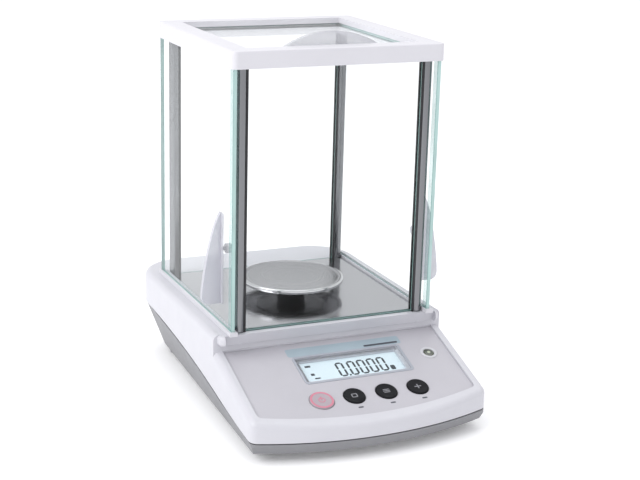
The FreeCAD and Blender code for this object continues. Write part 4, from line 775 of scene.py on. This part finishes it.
# ---------------------------------------------------------------- posts and rails
def post_gaskets():
    """Black glazing strips that bed each fixed pane in its post's groove."""
    for name in ("left_front_post", "left_rear_post", "right_front_post", "right_rear_post"):
        low, high = box_of(name)
        middle = (low + high) / 2
        side = 1 if middle.x < 0 else -1
        face = high.x if side > 0 else low.x
        pane_box = box_of("front_glass" if "front" in name else "rear_glass")
        bm = bmesh.new()
        for y, towards in ((pane_box[0].y, -1), (pane_box[1].y, 1)):
            y0 = y + towards * 0.02 * MM
            y1 = y + towards * 1.9 * MM
            x0 = face - side * 0.9 * MM
            x1 = face + side * 0.9 * MM
            add_box(
                bm, (min(x0, x1), min(y0, y1), low.z + 0.2 * MM),
                (max(x0, x1), max(y0, y1), high.z - 4.2 * MM), 0.3 * MM, 2,
            )
        finish_mesh(name + "_gasket", bm, [BLACK], "base", 40)


post_gaskets()


def rail_pads():
    """Row of small glide pads along the inner lip of each lower door rail."""
    for side, node in ((-1, "left_door_rail"), (1, "right_door_rail")):
        low, high = box_of(node)
        inner = high.x if side < 0 else low.x
        bm = bmesh.new()
        count = 30
        first = low.y + 8 * MM
        step = (high.y - low.y - 16 * MM) / (count - 1)
        for i in range(count):
            y = first + i * step
            x0 = inner + side * 0.1 * MM
            x1 = inner + side * 1.1 * MM
            add_box(
                bm, (min(x0, x1), y - 1.5 * MM, high.z - 0.3 * MM),
                (max(x0, x1), y + 1.5 * MM, high.z + 0.35 * MM), 0.12 * MM, 1,
            )
        finish_mesh(node + "_pads", bm, [PRINT_EDGE], "base", 40)


rail_pads()


# ---------------------------------------------------------------- rear details
def rear_details():
    """Nine contacts of the socket in a black insert, and blank bars on the rating plate."""
    low, high = box_of("serial_port")
    x = (low.x + high.x) / 2
    z = (low.z + high.z) / 2
    floor = high.y - 6 * MM
    bm = bmesh.new()
    insert_low = (x - 8.0 * MM, floor, z - 3.2 * MM)
    insert_high = (x + 8.0 * MM, floor + 1.2 * MM, z + 3.6 * MM)
    add_box(bm, insert_low, insert_high, 0.2 * MM, 1)
    finish_mesh("serial_insert", bm, [BLACK], "base", 40)
    bm = bmesh.new()
    for row, count in ((1.4, 5), (-1.4, 4)):
        for i in range(count):
            px = x + (i - (count - 1) / 2) * 2.77 * MM
            made = bmesh.ops.create_cone(
                bm, cap_ends=True, segments=16, radius1=0.6 * MM, radius2=0.6 * MM, depth=1.0 * MM,
            )
            place = Matrix.Translation((px, floor + 1.2 * MM, z + row * MM))
            turn = Matrix.Rotation(math.radians(90), 4, "X")
            bmesh.ops.transform(bm, matrix=place @ turn, verts=made["verts"])
    finish_mesh("serial_contacts", bm, [COPPER], "base", 40)
    low, high = box_of("rating_label")
    bm = bmesh.new()
    for k in range(4):
        z0 = high.z - (3.4 + 2.8 * k) * MM
        x1 = low.x + (30 - 4 * k) * MM
        add_box(bm, (low.x + 4 * MM, high.y - 0.02 * MM, z0), (x1, high.y + 0.04 * MM, z0 + 1.0 * MM))
    finish_mesh("rating_bars", bm, [PRINT_LIGHT], "base", 40)


rear_details()


# ---------------------------------------------------------------- studio
def studio():
    bpy.ops.mesh.primitive_plane_add(size=12, location=(0, 0, 0))
    floor = bpy.context.object
    floor.name = "studio_floor"
    material, *_, shader = new_material("studio_white")
    shader.inputs["Base Color"].default_value = (0.95, 0.95, 0.955, 1)
    shader.inputs["Roughness"].default_value = 0.8
    shader.inputs["Emission Color"].default_value = (1, 1, 1, 1)
    shader.inputs["Emission Strength"].default_value = 0.12
    floor.data.materials.append(material)
    world = bpy.data.worlds.new("studio")
    bpy.context.scene.world = world
    world.use_nodes = True
    background = world.node_tree.nodes["Background"]
    background.inputs["Color"].default_value = (0.97, 0.975, 1.0, 1)
    background.inputs["Strength"].default_value = 0.95
    area_light("key_light", (-1.5, -0.2, 1.3), (0, 0, 0.1), 1.2, 17)
    area_light("top_light", (0.3, 0.4, 2.0), (0, 0, 0.1), 1.6, 10)


def area_light(name, place, aim, size, power):
    data = bpy.data.lights.new(name, "AREA")
    data.size = size
    data.energy = power
    light = bpy.data.objects.new(name, data)
    light.location = place
    direction = Vector(aim) - Vector(place)
    light.rotation_euler = direction.to_track_quat("-Z", "Y").to_euler()
    bpy.context.scene.collection.objects.link(light)


CAMERA_PLACE = (-0.46116, -1.05109, 0.45981)
CAMERA_YAW = 0.4249
CAMERA_PITCH = -0.2794
CAMERA_ROLL = 0.0272
SENSOR_WIDTH = 36.0
FOCAL_LENGTH = 79.306875


def camera():
    """Camera at the viewing angle of the reference: front left, a little above."""
    yaw, pitch, roll = CAMERA_YAW, CAMERA_PITCH, CAMERA_ROLL
    level_x = math.sin(yaw) * math.cos(pitch)
    level_y = math.cos(yaw) * math.cos(pitch)
    forward = Vector((level_x, level_y, math.sin(pitch)))
    right = forward.cross(Vector((0, 0, 1))).normalized()
    above = right.cross(forward)
    turned_right = right * math.cos(roll) + above * math.sin(roll)
    turned_up = above * math.cos(roll) - right * math.sin(roll)
    data = bpy.data.cameras.new("camera")
    data.sensor_width = SENSOR_WIDTH
    data.lens = FOCAL_LENGTH
    eye = bpy.data.objects.new("camera", data)
    rotation = Matrix((turned_right, turned_up, -forward)).transposed()
    eye.matrix_world = Matrix.Translation(CAMERA_PLACE) @ rotation.to_4x4()
    bpy.context.scene.collection.objects.link(eye)
    bpy.context.scene.camera = eye
    bpy.context.scene.view_settings.view_transform = "Standard"


studio()
camera()
